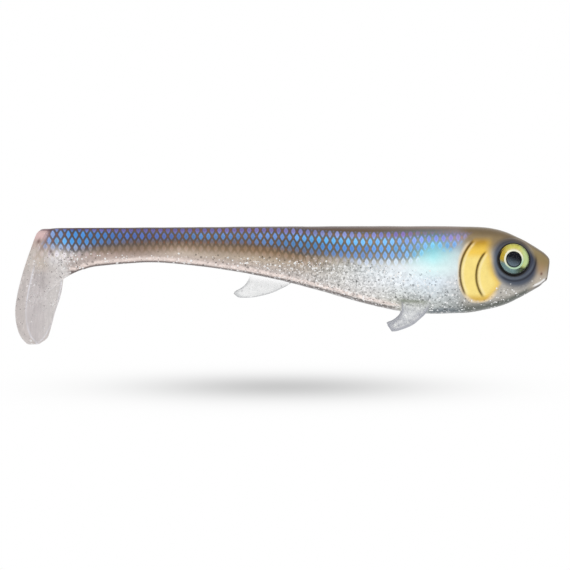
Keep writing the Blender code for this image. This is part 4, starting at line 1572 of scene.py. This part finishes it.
def build_fins():
    """The pair of pectoral fins and the anal fin."""
    grey = fin_material(
        "pectoral_clear_plastic", srgb(200, 202, 208), srgb(248, 249, 248), srgb(156, 158, 168), 1.05
    )
    white = fin_material(
        "anal_clear_plastic", srgb(234, 236, 236), srgb(252, 252, 252), srgb(190, 192, 195), 0.62
    )
    flake = flake_material()
    for side, name in ((1.0, "left"), (-1.0, "right")):
        pectoral_fin(side, name, [grey, flake])
    anal_fin([white, flake])


# ---------------------------------------------------------------- stage

FLOOR_Z = -50.0           # the lure is shown floating above the floor
FLOOR_HALF = 12000.0
SHADE_X = -114.7          # middle of the soft shade on the floor
SHADE_HALF_LENGTH = 43.6
SHADE_HALF_DEPTH = 120.0
SHADE_DARKNESS = 0.40
VIEW_CENTRE = (-113.4, 0.0, -6.4)
VIEW_WIDTH = 244.0
LENS = 600.0
SENSOR = 36.0
ELEVATION = 1.2           # degrees that the camera looks down by


def floor():
    """Pale floor with a soft shade under the lure."""
    left, right = VIEW_CENTRE[0] - FLOOR_HALF, VIEW_CENTRE[0] + FLOOR_HALF
    corners = [(left, -FLOOR_HALF), (right, -FLOOR_HALF), (right, FLOOR_HALF), (left, FLOOR_HALF)]
    nodes = Nodes("studio_floor")
    x, y, _ = nodes.split(nodes.add("TexCoord").outputs["Object"])
    along = nodes.over(nodes.minus(x, SHADE_X * MM), SHADE_HALF_LENGTH * MM)
    across = nodes.over(y, SHADE_HALF_DEPTH * MM)
    squares = [nodes.math("POWER", nodes.math("ABSOLUTE", way), 2.0) for way in (along, across)]
    shade = nodes.math("EXPONENT", nodes.times(nodes.plus(*squares), -0.5))
    light = nodes.linear(shade, -SHADE_DARKNESS, 1.0)
    emission = nodes.add("Emission", (("Color", nodes.join(light, light, light)),))
    material = nodes.surface(emission.outputs[0])
    plane = make_object("floor", [(x, y, FLOOR_Z) for x, y in corners], [(0, 1, 2, 3)], [material])
    plane.visible_diffuse = False
    plane.visible_glossy = False


def studio_world():
    """White to the camera; a soft sky to the object, a little brighter from below."""
    world = bpy.data.worlds.new("studio")
    bpy.context.scene.world = world
    world.use_nodes = True
    tree = world.node_tree
    background = tree.nodes["Background"]
    background.inputs["Color"].default_value = (1.0, 1.0, 1.0, 1.0)
    kinds = ("Background", "TexCoord", "SeparateXYZ", "MapRange", "LightPath", "MixShader")
    sky, place, split, height, path, blend = [tree.nodes.new("ShaderNode" + kind) for kind in kinds]
    for name, value in (("From Min", -1.0), ("From Max", 1.0), ("To Min", 1.36), ("To Max", 1.0)):
        height.inputs[name].default_value = value
    for source, target in (
        (place.outputs["Generated"], split.inputs[0]),
        (split.outputs[2], height.inputs["Value"]),
        (height.outputs[0], sky.inputs["Strength"]),
        (path.outputs["Is Camera Ray"], blend.inputs[0]),
        (sky.outputs[0], blend.inputs[1]),
        (background.outputs[0], blend.inputs[2]),
        (blend.outputs[0], tree.nodes["World Output"].inputs["Surface"]),
    ):
        tree.links.new(source, target)


def soft_light(name, place, size, power):
    """Square soft box aimed at the middle of the lure."""
    light = bpy.data.lights.new(name, "AREA")
    light.size = size
    light.energy = power
    lamp = bpy.data.objects.new(name, light)
    lamp.location = place
    aim = Vector(VIEW_CENTRE) * MM - Vector(place)
    lamp.rotation_euler = aim.to_track_quat("-Z", "Y").to_euler()
    bpy.context.scene.collection.objects.link(lamp)


def camera():
    """Long lens, level with the lure's left side."""
    data = bpy.data.cameras.new("camera")
    data.lens = LENS
    data.sensor_width = SENSOR
    view = bpy.data.objects.new("camera", data)
    lift = radians(ELEVATION)
    back = Vector((0.0, -cos(lift), sin(lift)))
    view.location = Vector(VIEW_CENTRE) * MM + back * (VIEW_WIDTH * MM * LENS / SENSOR)
    view.rotation_euler = (-back).to_track_quat("-Z", "Y").to_euler()
    bpy.context.scene.collection.objects.link(view)
    bpy.context.scene.camera = view


def build_stage():
    """Floor, world, one soft light and the camera."""
    floor()
    studio_world()
    soft_light("key", (-0.05, -0.45, 0.7), 0.5, 0.9)
    camera()
    bpy.context.scene.view_settings.view_transform = "Standard"


skin = skin_material()
build_skin(skin)
build_eyes(skin)
build_fins()
build_stage()
